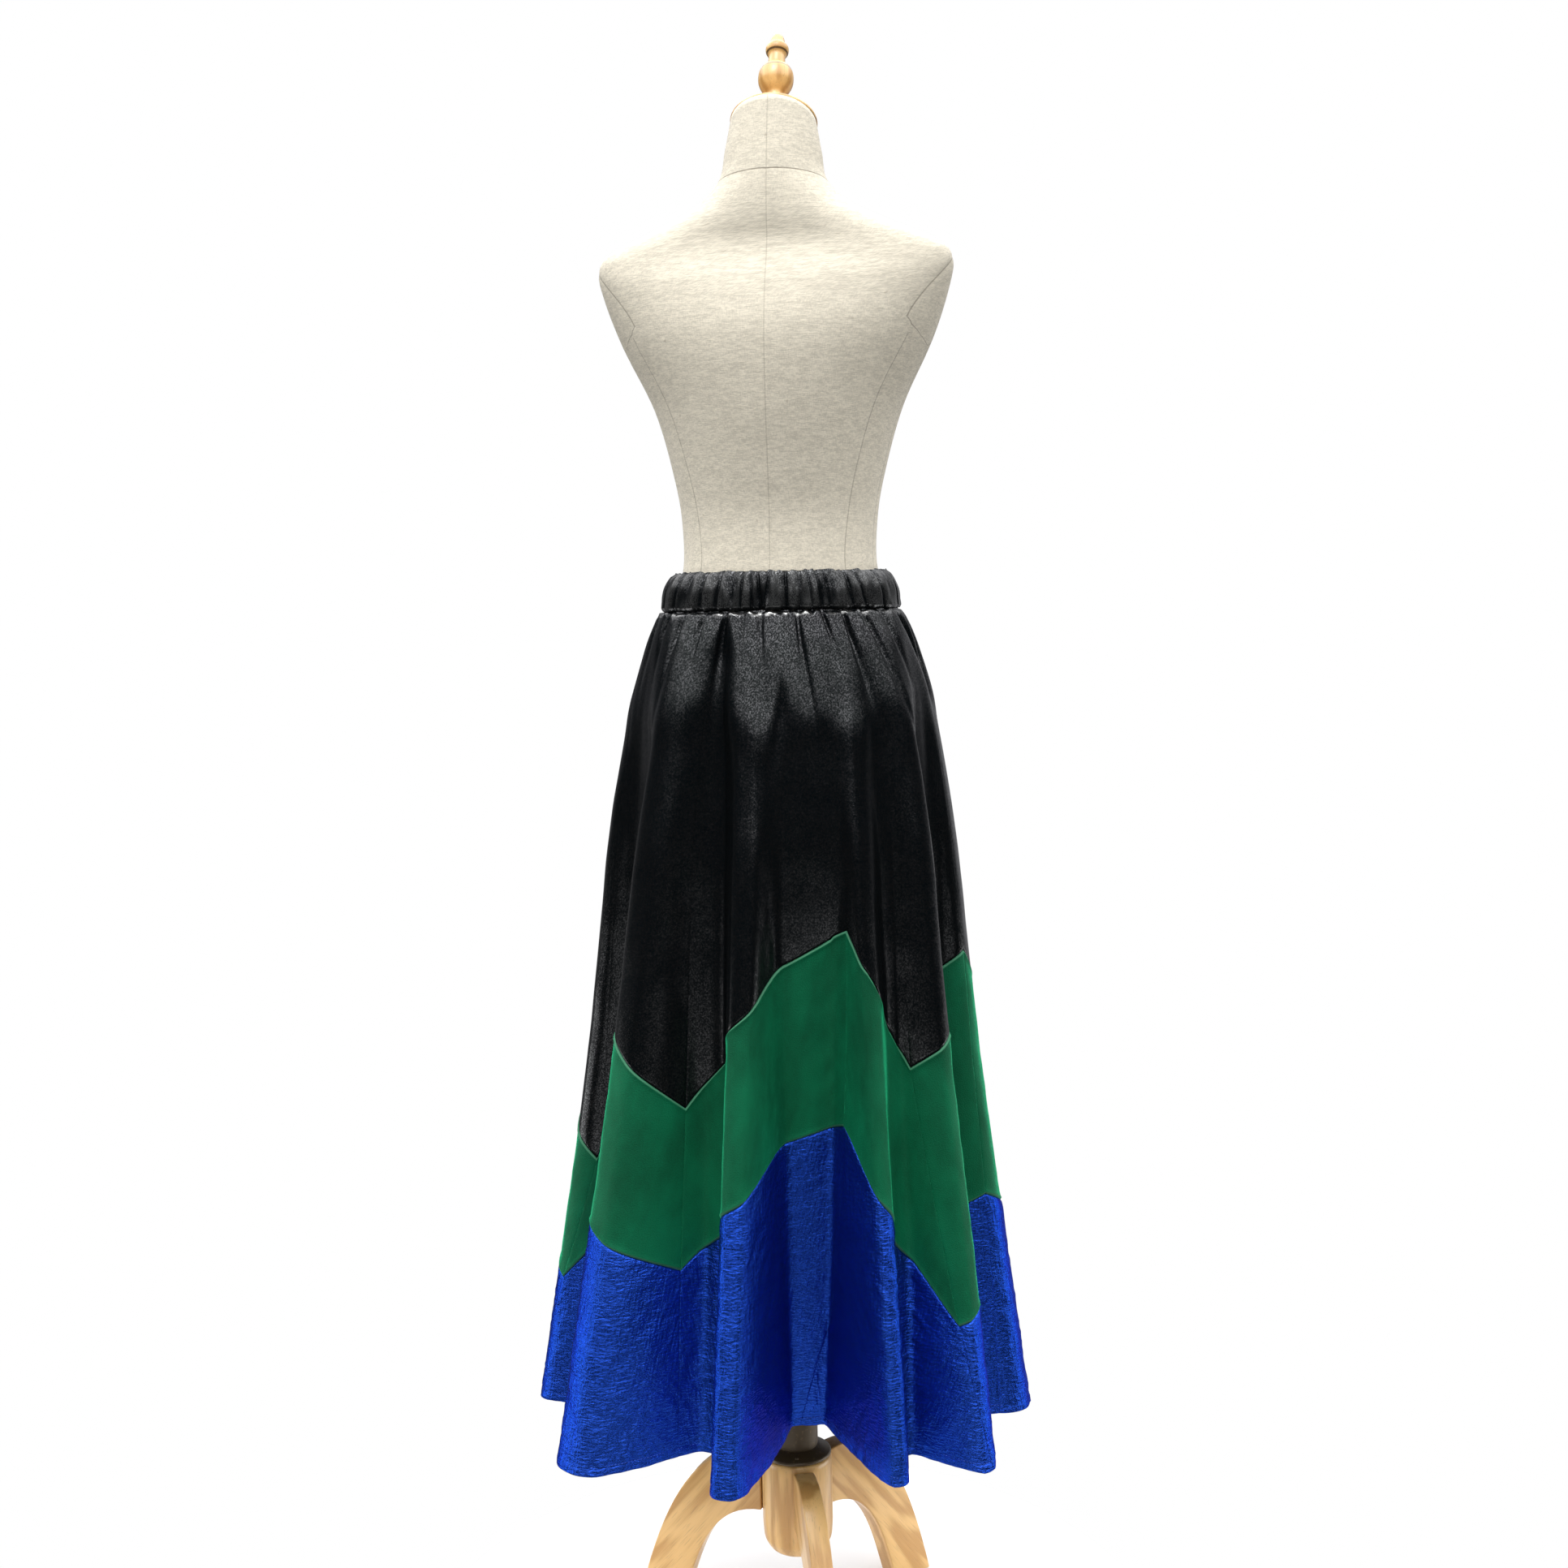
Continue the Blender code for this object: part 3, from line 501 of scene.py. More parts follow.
class Tree:
    """Adds nodes to a node tree."""

    def __init__(self, tree):
        self.tree = tree

    def node(self, kind, settings=None, inputs=None, output=0):
        """Add one node: its settings first, then its inputs' values or links; return one output."""
        made = self.tree.nodes.new(kind)
        for name, value in (settings or {}).items():
            if name == "stops":
                ramp = made.color_ramp.elements
                while len(ramp) < len(value):
                    ramp.new(1.0)
                for stop, (place, colour) in zip(ramp, value):
                    stop.position = place
                    stop.color = (*colour, 1.0)
            else:
                setattr(made, name, value)
        for key, value in (inputs or {}).items():
            socket = made.inputs[key]
            if isinstance(value, Socket):
                self.tree.links.new(value.output, socket)
            elif socket.type == "RGBA" and len(value) == 3:
                socket.default_value = (*value, 1.0)
            else:
                socket.default_value = value
        return Socket(self, made.outputs[output])

    def mix(self, factor, first, second):
        """Blend two colours."""
        settings = {"data_type": "RGBA", "clamp_factor": True}
        return self.node("ShaderNodeMix", settings, {0: factor, 6: first, 7: second}, 2)

    def noise(self, vector, scale, detail=2.0, roughness=0.5, stretch=None, turn=0.0):
        """Smooth random values from 0 to 1, on coordinates that may be stretched and turned."""
        if stretch is not None:
            values = {"Vector": vector, "Scale": stretch, "Rotation": (0.0, 0.0, turn)}
            vector = self.node("ShaderNodeMapping", {}, values)
        values = {"Vector": vector, "Scale": scale, "Detail": detail, "Roughness": roughness}
        return self.node("ShaderNodeTexNoise", {}, values)

    def attribute(self, name, output="Fac"):
        """Values that the mesh keeps for its points."""
        return self.node("ShaderNodeAttribute", {"attribute_name": name}, {}, output)

    def weave(self):
        """The cloth's own UV map, in metres across and down the piece."""
        flat = self.node("ShaderNodeUVMap", {"uv_map": "cloth"})
        return self.node("ShaderNodeMapping", {}, {"Vector": flat, "Location": (0.0, 0.0, 0.0137)})

    def place(self):
        """The object's own coordinates."""
        return self.node("ShaderNodeTexCoord", {}, {}, "Object")

    def bump(self, height, distance, strength=1.0):
        """A normal from a height in shares of distance."""
        return self.node("ShaderNodeBump", {}, {"Height": height, "Distance": distance, "Strength": strength})


def finish(recipe, *colours):
    """A material named after its recipe, made the first time it is asked for."""
    name = recipe.__name__
    made = bpy.data.materials.get(name)
    if made is None or "skirt_finish" not in made:
        if made is not None:
            made.name = f"{name}_plain"
        made = bpy.data.materials.new(name)
        made.use_nodes = True
        made["skirt_finish"] = True
        shader = made.node_tree.nodes["Principled BSDF"].inputs
        for socket, value in recipe(Tree(made.node_tree), *(tuple(colour) for colour in colours)).items():
            if isinstance(value, Socket):
                made.node_tree.links.new(value.output, shader[socket])
            else:
                shader[socket].default_value = value
    return made


def shades(colour, dark, light):
    """A darker and a lighter shade of a colour."""
    return tuple(c * dark for c in colour), tuple(min(c * light, 1.0) for c in colour)


def black_cloth(tree, colour):
    """Black cloth with a short sheen, speckled where the light catches its nap, with painted highlights on
    the gathers and the band.
    """
    weave = tree.weave()
    nap = tree.noise(weave, 900.0, 3.0, 0.7, stretch=(1.0, 0.7, 1.0), turn=0.5)
    patch = tree.noise(weave, 45.0, 3.0, 0.6)
    lay = tree.noise(weave, 190.0, 3.0, 0.6)
    speckle = (nap * 0.90 + patch * 0.10).smooth(0.47, 0.62)
    # Painted highlight: a pale, metal-like colour along the gathers' ridge and on the band's raised casing
    frill = tree.attribute("frill")
    grain = tree.mix(speckle, colour, (0.072, 0.073, 0.075))
    return {
        "Base Color": tree.mix(frill, grain, (0.42, 0.42, 0.41)),
        "Metallic": (speckle.most(frill) * 3.0).least(1.0),
        "Roughness": 0.20 + speckle * 0.05,
        "Specular IOR Level": 0.10,
        "Normal": tree.bump(nap * 0.5 + lay * 0.5, 0.00018, 0.8),
    }


def green_velvet(tree, colour):
    """Emerald velvet: dark pile that lights up where it turns away, with a painted pale sheen along its
    borders.
    """
    weave = tree.weave()
    pile = tree.noise(weave, 800.0, 2.0, 0.6)
    brushed = tree.noise(weave, 22.0, 4.0, 0.6, stretch=(1.0, 0.45, 1.0))
    shade = (brushed * 0.7 + pile * 0.3).smooth(0.30, 0.70)
    # Painted sheen: the pile painted pale mint near each border, along its raised edge
    painted_edge_sheen = (1.0 - (tree.attribute("edge") + pile * 0.0012).smooth(0.0016, 0.0034)) * 0.8
    even = tree.mix(shade, *shades(colour, 0.66, 1.36))
    return {
        "Base Color": tree.mix(painted_edge_sheen, even, (0.060, 0.200, 0.115)),
        "Roughness": 0.70 - shade * 0.12,
        "Specular IOR Level": 0.10,
        "Sheen Weight": 0.85,
        "Sheen Roughness": 0.25,
        "Sheen Tint": (0.05, 1.0, 0.45, 1.0),
        "Normal": tree.bump(pile, 0.0008, 0.7),
    }


def blue_satin(tree, colour):
    """Royal blue satin, crushed into fine crossing wrinkles."""
    weave = tree.weave()
    falling = tree.noise(weave, 330.0, 3.0, 0.55, stretch=(1.0, 0.16, 1.0), turn=0.75)
    rising = tree.noise(weave, 300.0, 3.0, 0.55, stretch=(1.0, 0.18, 1.0), turn=-0.9)
    level = tree.noise(weave, 420.0, 3.0, 0.6, stretch=(0.35, 1.0, 1.0))
    pick = tree.noise(weave, 14.0, 2.0).smooth(0.42, 0.60)
    wrinkle = falling * pick + rising * (1.0 - pick)
    height = wrinkle * 0.45 + level * 0.55
    thread = tree.noise(weave, 2600.0, 1.0, stretch=(1.0, 0.08, 1.0))
    # Colour follows the wrinkles' height: painted shade in their hollows and painted highlight on their
    # crests, with fine thread noise
    tone = (height * 0.8 + thread * 0.2).smooth(0.35, 0.65)
    return {
        "Base Color": tree.mix(tone, *shades(colour, 0.80, 1.15)),
        "Roughness": 0.27 - tone * 0.07,
        "Metallic": 0.85,
        "Specular IOR Level": 0.2,
        "Specular Tint": (0.03, 0.12, 0.8, 1.0),
        "Normal": tree.bump(height, 0.0030, 0.9),
    }


def linen(tree, colour):
    """Plain linen with slubs, drawn along the seams into thin dark lines."""
    weave = tree.weave()
    across = tree.noise(weave, 950.0, 2.0, 0.6, stretch=(0.22, 1.0, 1.0))
    upward = tree.noise(weave, 950.0, 2.0, 0.6, stretch=(1.0, 0.25, 1.0))
    slub = tree.noise(weave, 330.0, 4.0, 0.65, stretch=(0.30, 1.0, 1.0))
    fleck = tree.noise(weave, 140.0, 1.0, 0.5).smooth(0.74, 0.80)
    cloth = across * 0.6 + upward * 0.4
    tone = (cloth * 0.60 + slub * 0.40).smooth(0.38, 0.62)
    flecked = tree.mix(fleck * 0.35, tree.mix(tone, *shades(colour, 0.80, 1.14)), (0.30, 0.24, 0.17))
    seam = 0.0
    for name, depth in SEAM_SHADES.items():
        seam = ((1.0 - abs(tree.attribute(name)).smooth(0.0002, 0.0011)) * depth).most(seam)
    return {
        "Base Color": tree.mix(seam, flecked, (0.13, 0.105, 0.075)),
        "Roughness": 0.93 - tone * 0.08,
        "Specular IOR Level": 0.2,
        "Sheen Weight": 0.1,
        "Normal": tree.bump(cloth * 0.6 + slub * 0.4 - seam * 0.8, 0.0006, 0.8),
    }


def pale_wood(tree, colour):
    """Varnished pale wood, with grain along each piece and dark lines painted round the turned ones, on the
    finial as painted shade.
    """
    grain = tree.attribute("grain", "Vector")
    wander = tree.noise(grain, 1.0, 3.0, 0.5, stretch=(14.0, 14.0, 2.2))
    streak = tree.noise(grain, 1.0, 3.0, 0.6, stretch=(210.0, 210.0, 7.0))
    pore = tree.noise(grain, 1.0, 1.0, stretch=(900.0, 900.0, 40.0)).smooth(0.60, 0.72)
    rings = (wander * 46.0).sine() * 0.5 + 0.5
    tone = (rings * 0.45 + streak * 0.55).smooth(0.25, 0.75)
    even = tree.mix(tone, tuple(c * m for c, m in zip(colour, (0.80, 0.72, 0.60))),
                    tuple(min(c * m, 1.0) for c, m in zip(colour, (1.15, 1.20, 1.30))))
    # Dark lines at the given heights: on the finial, painted shade along the top of its ball and under its
    # disc
    first, second = (abs(tree.attribute(name) - 1.0) for name in LINE_NAMES)
    dark_line = 1.0 - first.least(second).smooth(0.0005, 0.0013)
    aged = tree.mix(pore * 0.35, even, tuple(c * 0.45 for c in colour))
    return {
        "Base Color": tree.mix(dark_line * 0.85, aged, (0.050, 0.026, 0.010)),
        "Roughness": 0.42 - tone * 0.10 + pore * 0.15,
        "Coat Weight": 0.35,
        "Coat Roughness": 0.18,
        "Normal": tree.bump(streak * 0.5 + pore * -0.5, 0.0004, 0.5),
    }


def dark_metal(tree):
    """Dark lacquered metal with fine turning marks and worn patches."""
    place = tree.place()
    marks = tree.noise(place, 1.0, 2.0, stretch=(60.0, 60.0, 2600.0))
    wear = tree.noise(place, 180.0, 4.0, 0.65).smooth(0.56, 0.72)
    return {
        "Base Color": tree.mix(wear, (0.085, 0.060, 0.032), (0.170, 0.115, 0.060)),
        "Roughness": 0.30 + marks * 0.15 + wear * 0.1,
        "Metallic": 0.3,
        "Normal": tree.bump(marks, 0.0003, 0.4),
    }


def blue_thread(tree, colour):
    """Glossy sewing thread with its twist."""
    twist = tree.noise(tree.place(), 2400.0, 1.0, stretch=(1.0, 1.0, 2.0))
    return {"Base Color": tree.mix(twist, *shades(colour, 0.6, 1.2)), "Roughness": 0.42 + twist * 0.2}


def floor(tree, colour):
    """Pale floor that brightens into the backdrop at its rim."""
    place = tree.place()
    far = tree.node("ShaderNodeVectorMath", {"operation": "LENGTH"}, {0: place}, "Value")
    glow = far.smooth(FLOOR_RADIUS * 0.75, FLOOR_RADIUS * 0.98)
    return {
        "Base Color": tree.mix(tree.noise(place, 3.0, 2.0), *shades(colour, 1.0, 1.02)),
        "Emission Color": tree.mix(glow, (0.0, 0.0, 0.0), (1.0, 1.0, 1.0)),
        "Emission Strength": FLOOR_GLOW,
        "Roughness": 0.9,
        "Specular IOR Level": 0.1,
    }


def smooth_table(x, stops, values):
    """Read a table at x along a smooth curve through its rows."""
    slopes = np.gradient(values, stops)
    x = np.clip(x, stops[0], stops[-1])
    i = np.clip(np.searchsorted(stops, x, side="right") - 1, 0, len(stops) - 2)
    span = stops[i + 1] - stops[i]
    f = (x - stops[i]) / span
    start = values[i] * (1 + 2 * f) * (1 - f) ** 2 + slopes[i] * span * f * (1 - f) ** 2
    end = values[i + 1] * f * f * (3 - 2 * f) + slopes[i + 1] * span * f * f * (f - 1)
    return start + end


def ellipse_radius(angle, half_width, half_depth):
    """Distance from the axis to an ellipse turned with the form, in the direction of angle."""
    a = angle - math.radians(FORM_TURN_DEG)
    return 1.0 / np.sqrt((np.cos(a) / half_width) ** 2 + (np.sin(a) / half_depth) ** 2)


def fold_wave(angle_deg):
    """Return the folds' share of the outline, their growth, lean and swing, at an angle round the hem."""
    crest_at, crest, trough_at, hollow, flat, late, lean, swing = FOLDS.values()
    between = (swing + np.roll(swing, -1)) / 2
    steady = np.full(len(crest), FOLD_GROWTH)
    upright = np.zeros(len(crest))
    at_crest = np.stack([crest_at, crest, steady, lean, swing])
    floor_start = np.stack([trough_at - flat / 2, -hollow, late, upright, between])
    floor_end = np.stack([trough_at + flat / 2, -hollow, late, upright, between])
    stops = np.reshape(np.stack([at_crest, floor_start, floor_end], axis=-1), (len(at_crest), -1))
    stops = np.column_stack([stops, stops[:, 0]])
    stops[0, -1] += 360.0
    a = stops[0, 0] + np.mod(angle_deg - stops[0, 0], 360.0)
    i = np.clip(np.searchsorted(stops[0], a, side="right") - 1, 0, stops.shape[1] - 2)
    f = (a - stops[0, i]) / (stops[0, i + 1] - stops[0, i])
    step = f ** FLANK / (f ** FLANK + (1 - f) ** FLANK)
    return stops[1:, i] + (stops[1:, i + 1] - stops[1:, i]) * step


def hem_angles():
    """Angles round the hem, in degrees, at even steps along the cloth, from the first seam round."""
    angle = SEAMS["hem_deg"][0] + np.linspace(0.0, 360.0, HEM_SAMPLES)
    wave, _, lean, _ = fold_wave(angle)
    turned = np.radians(angle + lean)
    radius = OUTLINE["half_width"][-1] * (1 + wave)
    x, y = radius * np.cos(turned), radius * np.sin(turned)
    length = np.concatenate([[0.0], np.cumsum(np.hypot(np.diff(x), np.diff(y)))])
    around = np.linspace(0.0, 1.0, HEM_SAMPLES)
    return around, np.interp(around * length[-1], length, angle)


AROUND, HEM_ANGLE = hem_angles()
WAIST_START_DEG = float(np.mean(HEM_ANGLE[:-1] - 360.0 * AROUND[:-1]))


def hem_angle(around):
    """Angle round the hem of a place round the cloth, in degrees."""
    turns = np.floor(around)
    return np.interp(around - turns, AROUND, HEM_ANGLE) + 360.0 * turns


def skirt_point(around, down):
    """One point or an array of points of the cloth, before its gathers and creases."""
    around, down = np.broadcast_arrays(np.asarray(around, float), np.asarray(down, float))
    hem = hem_angle(around)
    waist = WAIST_START_DEG + 360.0 * around
    settle = np.clip(down / FOLD_SETTLE, 0.0, 1.0)
    settle = settle * settle * (3 - 2 * settle)
    wave, growth, lean, swing = fold_wave(hem)
    settled = hem + swing * (1 - down) + lean * down ** LEAN_GROWTH
    angle = np.radians(waist + (settled - waist) * settle)
    drop = down * LENGTH
    drops, widths, depths = OUTLINE.values()
    half_width, half_depth = smooth_table(drop, drops, widths), smooth_table(drop, drops, depths)
    start = np.clip(down / FOLD_START, 0.0, 1.0)
    fold = wave * down ** growth * start * (2 - start)
    radius = ellipse_radius(angle, half_width, half_depth) * (1 + fold)
    point = np.stack([radius * np.cos(angle), radius * np.sin(angle), WAIST_SEAM_Z - drop], axis=-1)
    return point + np.array([AXIS_X, AXIS_Y, 0.0])


def skirt_frame(around, down):
    """Point, outward direction and metres of cloth per turn, at each place on the skirt."""
    low = np.clip(down - STEP, 0.0, 1.0)
    high = np.clip(down + STEP, 0.0, 1.0)
    along = skirt_point(around + STEP, down) - skirt_point(around - STEP, down)
    fall = skirt_point(around, high) - skirt_point(around, low)
    normal = np.cross(fall, along)
    normal = normal / np.linalg.norm(normal, axis=-1, keepdims=True)
    return skirt_point(around, down), normal, np.linalg.norm(along, axis=-1) / (2 * STEP)


def seam_around(seam, down):
    """Where a seam lies round the cloth: straight to its black border, then swaying to its hem end."""
    lap, row = divmod(seam, GORES)
    ends = []
    for name in ("upper_deg", "hem_deg"):
        angle = SEAMS[name][row]
        ends.append(np.interp(HEM_ANGLE[0] + (angle - HEM_ANGLE[0]) % 360.0, HEM_ANGLE, AROUND))
    black = SEAMS["black_drop"][row] / LENGTH
    share = np.clip((down - black) / (1.0 - black), 0.0, 1.0)
    return lap + ends[0] + (ends[1] - ends[0]) * share


def border_down(gore, share, name):
    """How far down a colour border lies: straight in the cloth, by the cloth's length across one gore."""
    drops = SEAMS[name] / LENGTH
    start, end = drops[gore], drops[(gore + 1) % GORES]
    even = np.linspace(0.0, 1.0, BORDER_SAMPLES)
    down = start + (end - start) * even
    left, right = seam_around(gore, down), seam_around(gore + 1, down)
    step = np.linalg.norm(np.diff(skirt_point(left + (right - left) * even, down)[:, :2], axis=0), axis=-1)
    length = np.concatenate([[0.0], np.cumsum(step)])
    across = np.interp(share, even, length / length[-1])
    bow = SEAMS["bow"][gore] / LENGTH
    return start + (end - start) * across - 4 * bow * across * (1 - across)


def soft_noise(x, y, seed):
    """Smooth random heights from -1 to 1, about one to each unit square."""
    cells = 64
    grid = np.random.default_rng(seed).uniform(-1.0, 1.0, (cells, cells))
    i, j = np.floor(x).astype(int), np.floor(y).astype(int)
    fx, fy = x - i, y - j
    fx, fy = fx * fx * (3 - 2 * fx), fy * fy * (3 - 2 * fy)
    low = grid[i % cells, j % cells] * (1 - fx) + grid[(i + 1) % cells, j % cells] * fx
    high = grid[i % cells, (j + 1) % cells] * (1 - fx) + grid[(i + 1) % cells, (j + 1) % cells] * fx
    return low * (1 - fy) + high * fy


def uneven(name, around, down):
    """Unevenness of the cloth, by its row in the table."""
    strength, turns, rows, seed = UNEVEN[name]
    return strength * soft_noise(around * turns, down * rows, seed)


def turned_noise(x, y, turn_deg, long, short, seed):
    """Random heights drawn out along one direction."""
    c, s = math.cos(math.radians(turn_deg)), math.sin(math.radians(turn_deg))
    return soft_noise((x * c + y * s) / long, (y * c - x * s) / short, seed)


def bell(distance, width):
    """1 at no distance, falling softly away past width."""
    return np.exp(-(distance / width) ** 2)


def wrapped(angle_deg):
    """An angle brought between -180 and 180."""
    return (angle_deg + 180.0) % 360.0 - 180.0


def gather_relief(around, drop, puff):
    """How far the gathers under the waistband stand out."""
    waist = WAIST_START_DEG + 360.0 * around
    hollow = np.zeros_like(drop)
    share = np.zeros_like(drop)
    for waist_deg, depth, width, length, drift in zip(*GATHERS.values()):
        away = wrapped(waist - waist_deg - drift * drop / length)
        spread = width * (0.8 + 0.7 * np.minimum(drop / length, 2.0))
        cut = 1.0 / (1.0 + (away / spread) ** 2) ** 2
        hollow += depth * cut * np.exp(-(drop / length) ** 1.5)
        share = np.maximum(share, cut * min(depth / GATHER_FULL, 1.0))
    tuck = TUCK * (1.0 + uneven("tuck", around, drop))
    start = 1.0 - np.exp(-((drop / tuck) ** 2))
    swell = (SWELL * np.exp(-drop / SWELL_FADE) + puff * np.exp(-drop / PUFF_FADE)) * (1.0 - share)
    swell *= 0.8 + uneven("swell", around, drop)
    frill = uneven("frill", around, drop) * np.exp(-drop / FRILL_FADE)
    hollow = np.minimum(hollow, GATHER_LIMIT + GATHER_SLOPE * drop)
    break_at = np.interp(wrapped(waist), *BREAK.values())
    hang = BREAK_HEIGHT * bell(drop - break_at, BREAK_SOFT)
    return (swell + frill - hollow) * start + hang - SEAM_SINK * (1.0 - start)


def crease_relief(around, drop):
    """How far the long soft creases stand out or go in."""
    hem = hem_angle(around)
    out = np.zeros_like(drop)
    for hem_deg, top, end, height, width in zip(*CREASES.values()):
        f = np.clip((drop - top) / (end - top), 0.0, 1.0)
        out += height * bell(wrapped(hem - hem_deg), width) * (4.0 * f * (1.0 - f)) ** 0.8
    return out


def satin_relief(across, drop, gore, height):
    """Crossing wrinkles of the crushed satin, in metres across and down one gore."""
    falling, rising = (turned_noise(across, drop, turn, long, short, seed + gore)
                       for turn, long, short, seed in WRINKLES)
    level = soft_noise(across / LEVEL_SIZE[0], drop / LEVEL_SIZE[1], 60 + gore)
    pick = np.clip(0.5 + 1.2 * soft_noise(across / PICK_SIZE, drop / PICK_SIZE, 80 + gore), 0.0, 1.0)
    hatch = (1.0 - 2.0 * abs(falling)) * pick + (1.0 - 2.0 * abs(rising)) * (1.0 - pick)
    return height * (0.65 * hatch + 0.45 * level)


def spaced(length, step, near):
    """Shares along a length: close steps beside both ends and even ones between."""
    count = max(2, round((length - 2 * near[-1]) / step))
    between = np.linspace(near[-1], length - near[-1], count + 1)
    return np.concatenate([near[:-1], between, length - np.array(near[:-1])[::-1]]) / length


def grid_faces(rows, columns, ring):
    """Faces of a thin wall: outer grid, inner grid and the edges between; ring closes it round."""
    place = np.arange(rows * columns).reshape(rows, columns)
    if ring:
        place = np.column_stack([place, place[:, 0]])
    inner = place + rows * columns
    a, b, c, d = place[:-1, :-1], place[:-1, 1:], place[1:, 1:], place[1:, :-1]
    faces = [np.stack([a, d, c, b], axis=-1).reshape(-1, 4)]
    a, b, c, d = inner[:-1, :-1], inner[:-1, 1:], inner[1:, 1:], inner[1:, :-1]
    faces.append(np.stack([a, b, c, d], axis=-1).reshape(-1, 4))
    faces.append(np.stack([place[0, :-1], place[0, 1:], inner[0, 1:], inner[0, :-1]], axis=-1))
    faces.append(np.stack([place[-1, 1:], place[-1, :-1], inner[-1, :-1], inner[-1, 1:]], axis=-1))
    if not ring:
        faces.append(np.stack([place[1:, 0], place[:-1, 0], inner[:-1, 0], inner[1:, 0]], axis=-1))
        faces.append(np.stack([place[:-1, -1], place[1:, -1], inner[1:, -1], inner[:-1, -1]], axis=-1))
    return np.concatenate(faces).tolist()


def add_object(name, mesh):
    """Link one object."""
    body = bpy.data.objects.new(name, mesh)
    bpy.context.collection.objects.link(body)
    return body


def keep_field(mesh, name, values):
    """Keep a number or a vector for each point of a mesh."""
    vector = np.ndim(values) == 2
    layer = mesh.attributes.new(name, "FLOAT_VECTOR" if vector else "FLOAT", "POINT")
    layer.data.foreach_set("vector" if vector else "value", np.asarray(values, float).ravel())


def add_mesh(name, points, faces, made, uv=None, fields=None):
    """Link one smooth object, with a UV map and named values for each point where given."""
    mesh = bpy.data.meshes.new(name)
    mesh.from_pydata(np.asarray(points).tolist(), [], faces)
    mesh.shade_smooth()
    if uv is not None:
        corner = np.empty(len(mesh.loops), dtype=np.int32)
        mesh.loops.foreach_get("vertex_index", corner)
        mesh.uv_layers.new(name="cloth").data.foreach_set("uv", np.asarray(uv, float)[corner].ravel())
    for field, values in (fields or {}).items():
        keep_field(mesh, field, values)
    mesh.materials.append(made)
    return add_object(name, mesh)


def tube_faces(rows, sides):
    """Faces of a tube of points with a flat end at both sides."""
    place = np.arange(rows * sides).reshape(rows, sides)
    place = np.column_stack([place, place[:, 0]])
    faces = np.stack([place[:-1, :-1], place[:-1, 1:], place[1:, 1:], place[1:, :-1]], axis=-1).reshape(-1, 4)
    return faces.tolist() + [place[0, -2::-1].tolist(), place[-1, :-1].tolist()]


def place_piece(piece, slot, *nodes):
    """Say what a piece rides on and what it stands for; its slot is not used."""
    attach(piece, "root")
    if nodes:
        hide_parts(*nodes)


def cloth_area(points):
    """Area of a grid of points."""
    here, across, down, far = points[:-1, :-1], points[:-1, 1:], points[1:, :-1], points[1:, 1:]
    halves = np.cross(down - here, across - here), np.cross(down - far, across - far)
    return float(sum(np.linalg.norm(half, axis=-1).sum() for half in halves) / 2)


def widest(points):
    """Length of the widest row of a grid of points, along the level."""
    return float(np.linalg.norm(np.diff(points[..., :2], axis=1), axis=-1).sum(axis=1).max())


def longest(points):
    """Length of the longest column of a grid of points."""
    return float(np.linalg.norm(np.diff(points, axis=0), axis=-1).sum(axis=0).max())


def gore_grid(gore, colour, top, bottom, step):
    """Places of one gore piece: round, down and across it, and how far below and above its two edges."""
    turn_length = skirt_frame(np.array(0.5), np.array(CUT_ROW))[2]
    width = float((seam_around(gore + 1, CUT_ROW) - seam_around(gore, CUT_ROW)) * turn_length)
    near = BLACK_EDGE if colour == "black" else GORE_EDGE
    across = spaced(width, step, near)
    height = float(np.mean(bottom(across) - top(across))) * LENGTH
    share = spaced(height, step, near)[:, None]
    down = top(across) * (1 - share) + bottom(across) * share
    left, right = seam_around(gore, down), seam_around(gore + 1, down)
    around = left * (1 - across) + right * across
    slant = math.hypot(1.0, (bottom(1.0) - bottom(0.0)) * LENGTH / width)
    below_top = (down - top(across)) * LENGTH / slant
    above_foot = (bottom(across) - down) * LENGTH / slant
    return around, down, across, below_top, above_foot


def seam_distances(point):
    """How far each place of a gore's grid lies from its left and its right seam, along the level."""
    steps = np.linalg.norm(np.diff(point[..., :2], axis=1), axis=-1)
    from_left = np.concatenate([np.zeros((len(steps), 1)), np.cumsum(steps, axis=1)], axis=1)
    return from_left, from_left[:, -1:] - from_left


def glints(around, drop):
    """How strong the painted highlight along the gathers' ridge is, most at the middle of the back and the
    front.
    """
    lit = np.clip(0.35 + uneven("lit", around, drop), 0.0, 1.0)
    waist_x = np.cos(np.radians(WAIST_START_DEG + 360.0 * around))
    ridge = RIDGE_DROP + uneven("ridge", around, drop)
    return lit * bell(drop - ridge, RIDGE_WIDTH) * (0.35 + 0.65 * bell(waist_x + 0.1, 0.5))


def hem_relief(around, drop, above_hem, turning):
    """Relief of the turned hem: its second layer, the furrow of its stitches and the puckers round them."""
    layer = TURNING_RISE * np.clip(1.0 - above_hem / turning, 0.0, 1.0) ** 0.3
    sewn = above_hem - turning
    puckers = uneven("pucker", around, drop) * bell(sewn, STITCH_PUCKER)
    return layer - STITCH_DIP * bell(sewn, STITCH_REACH) + puckers


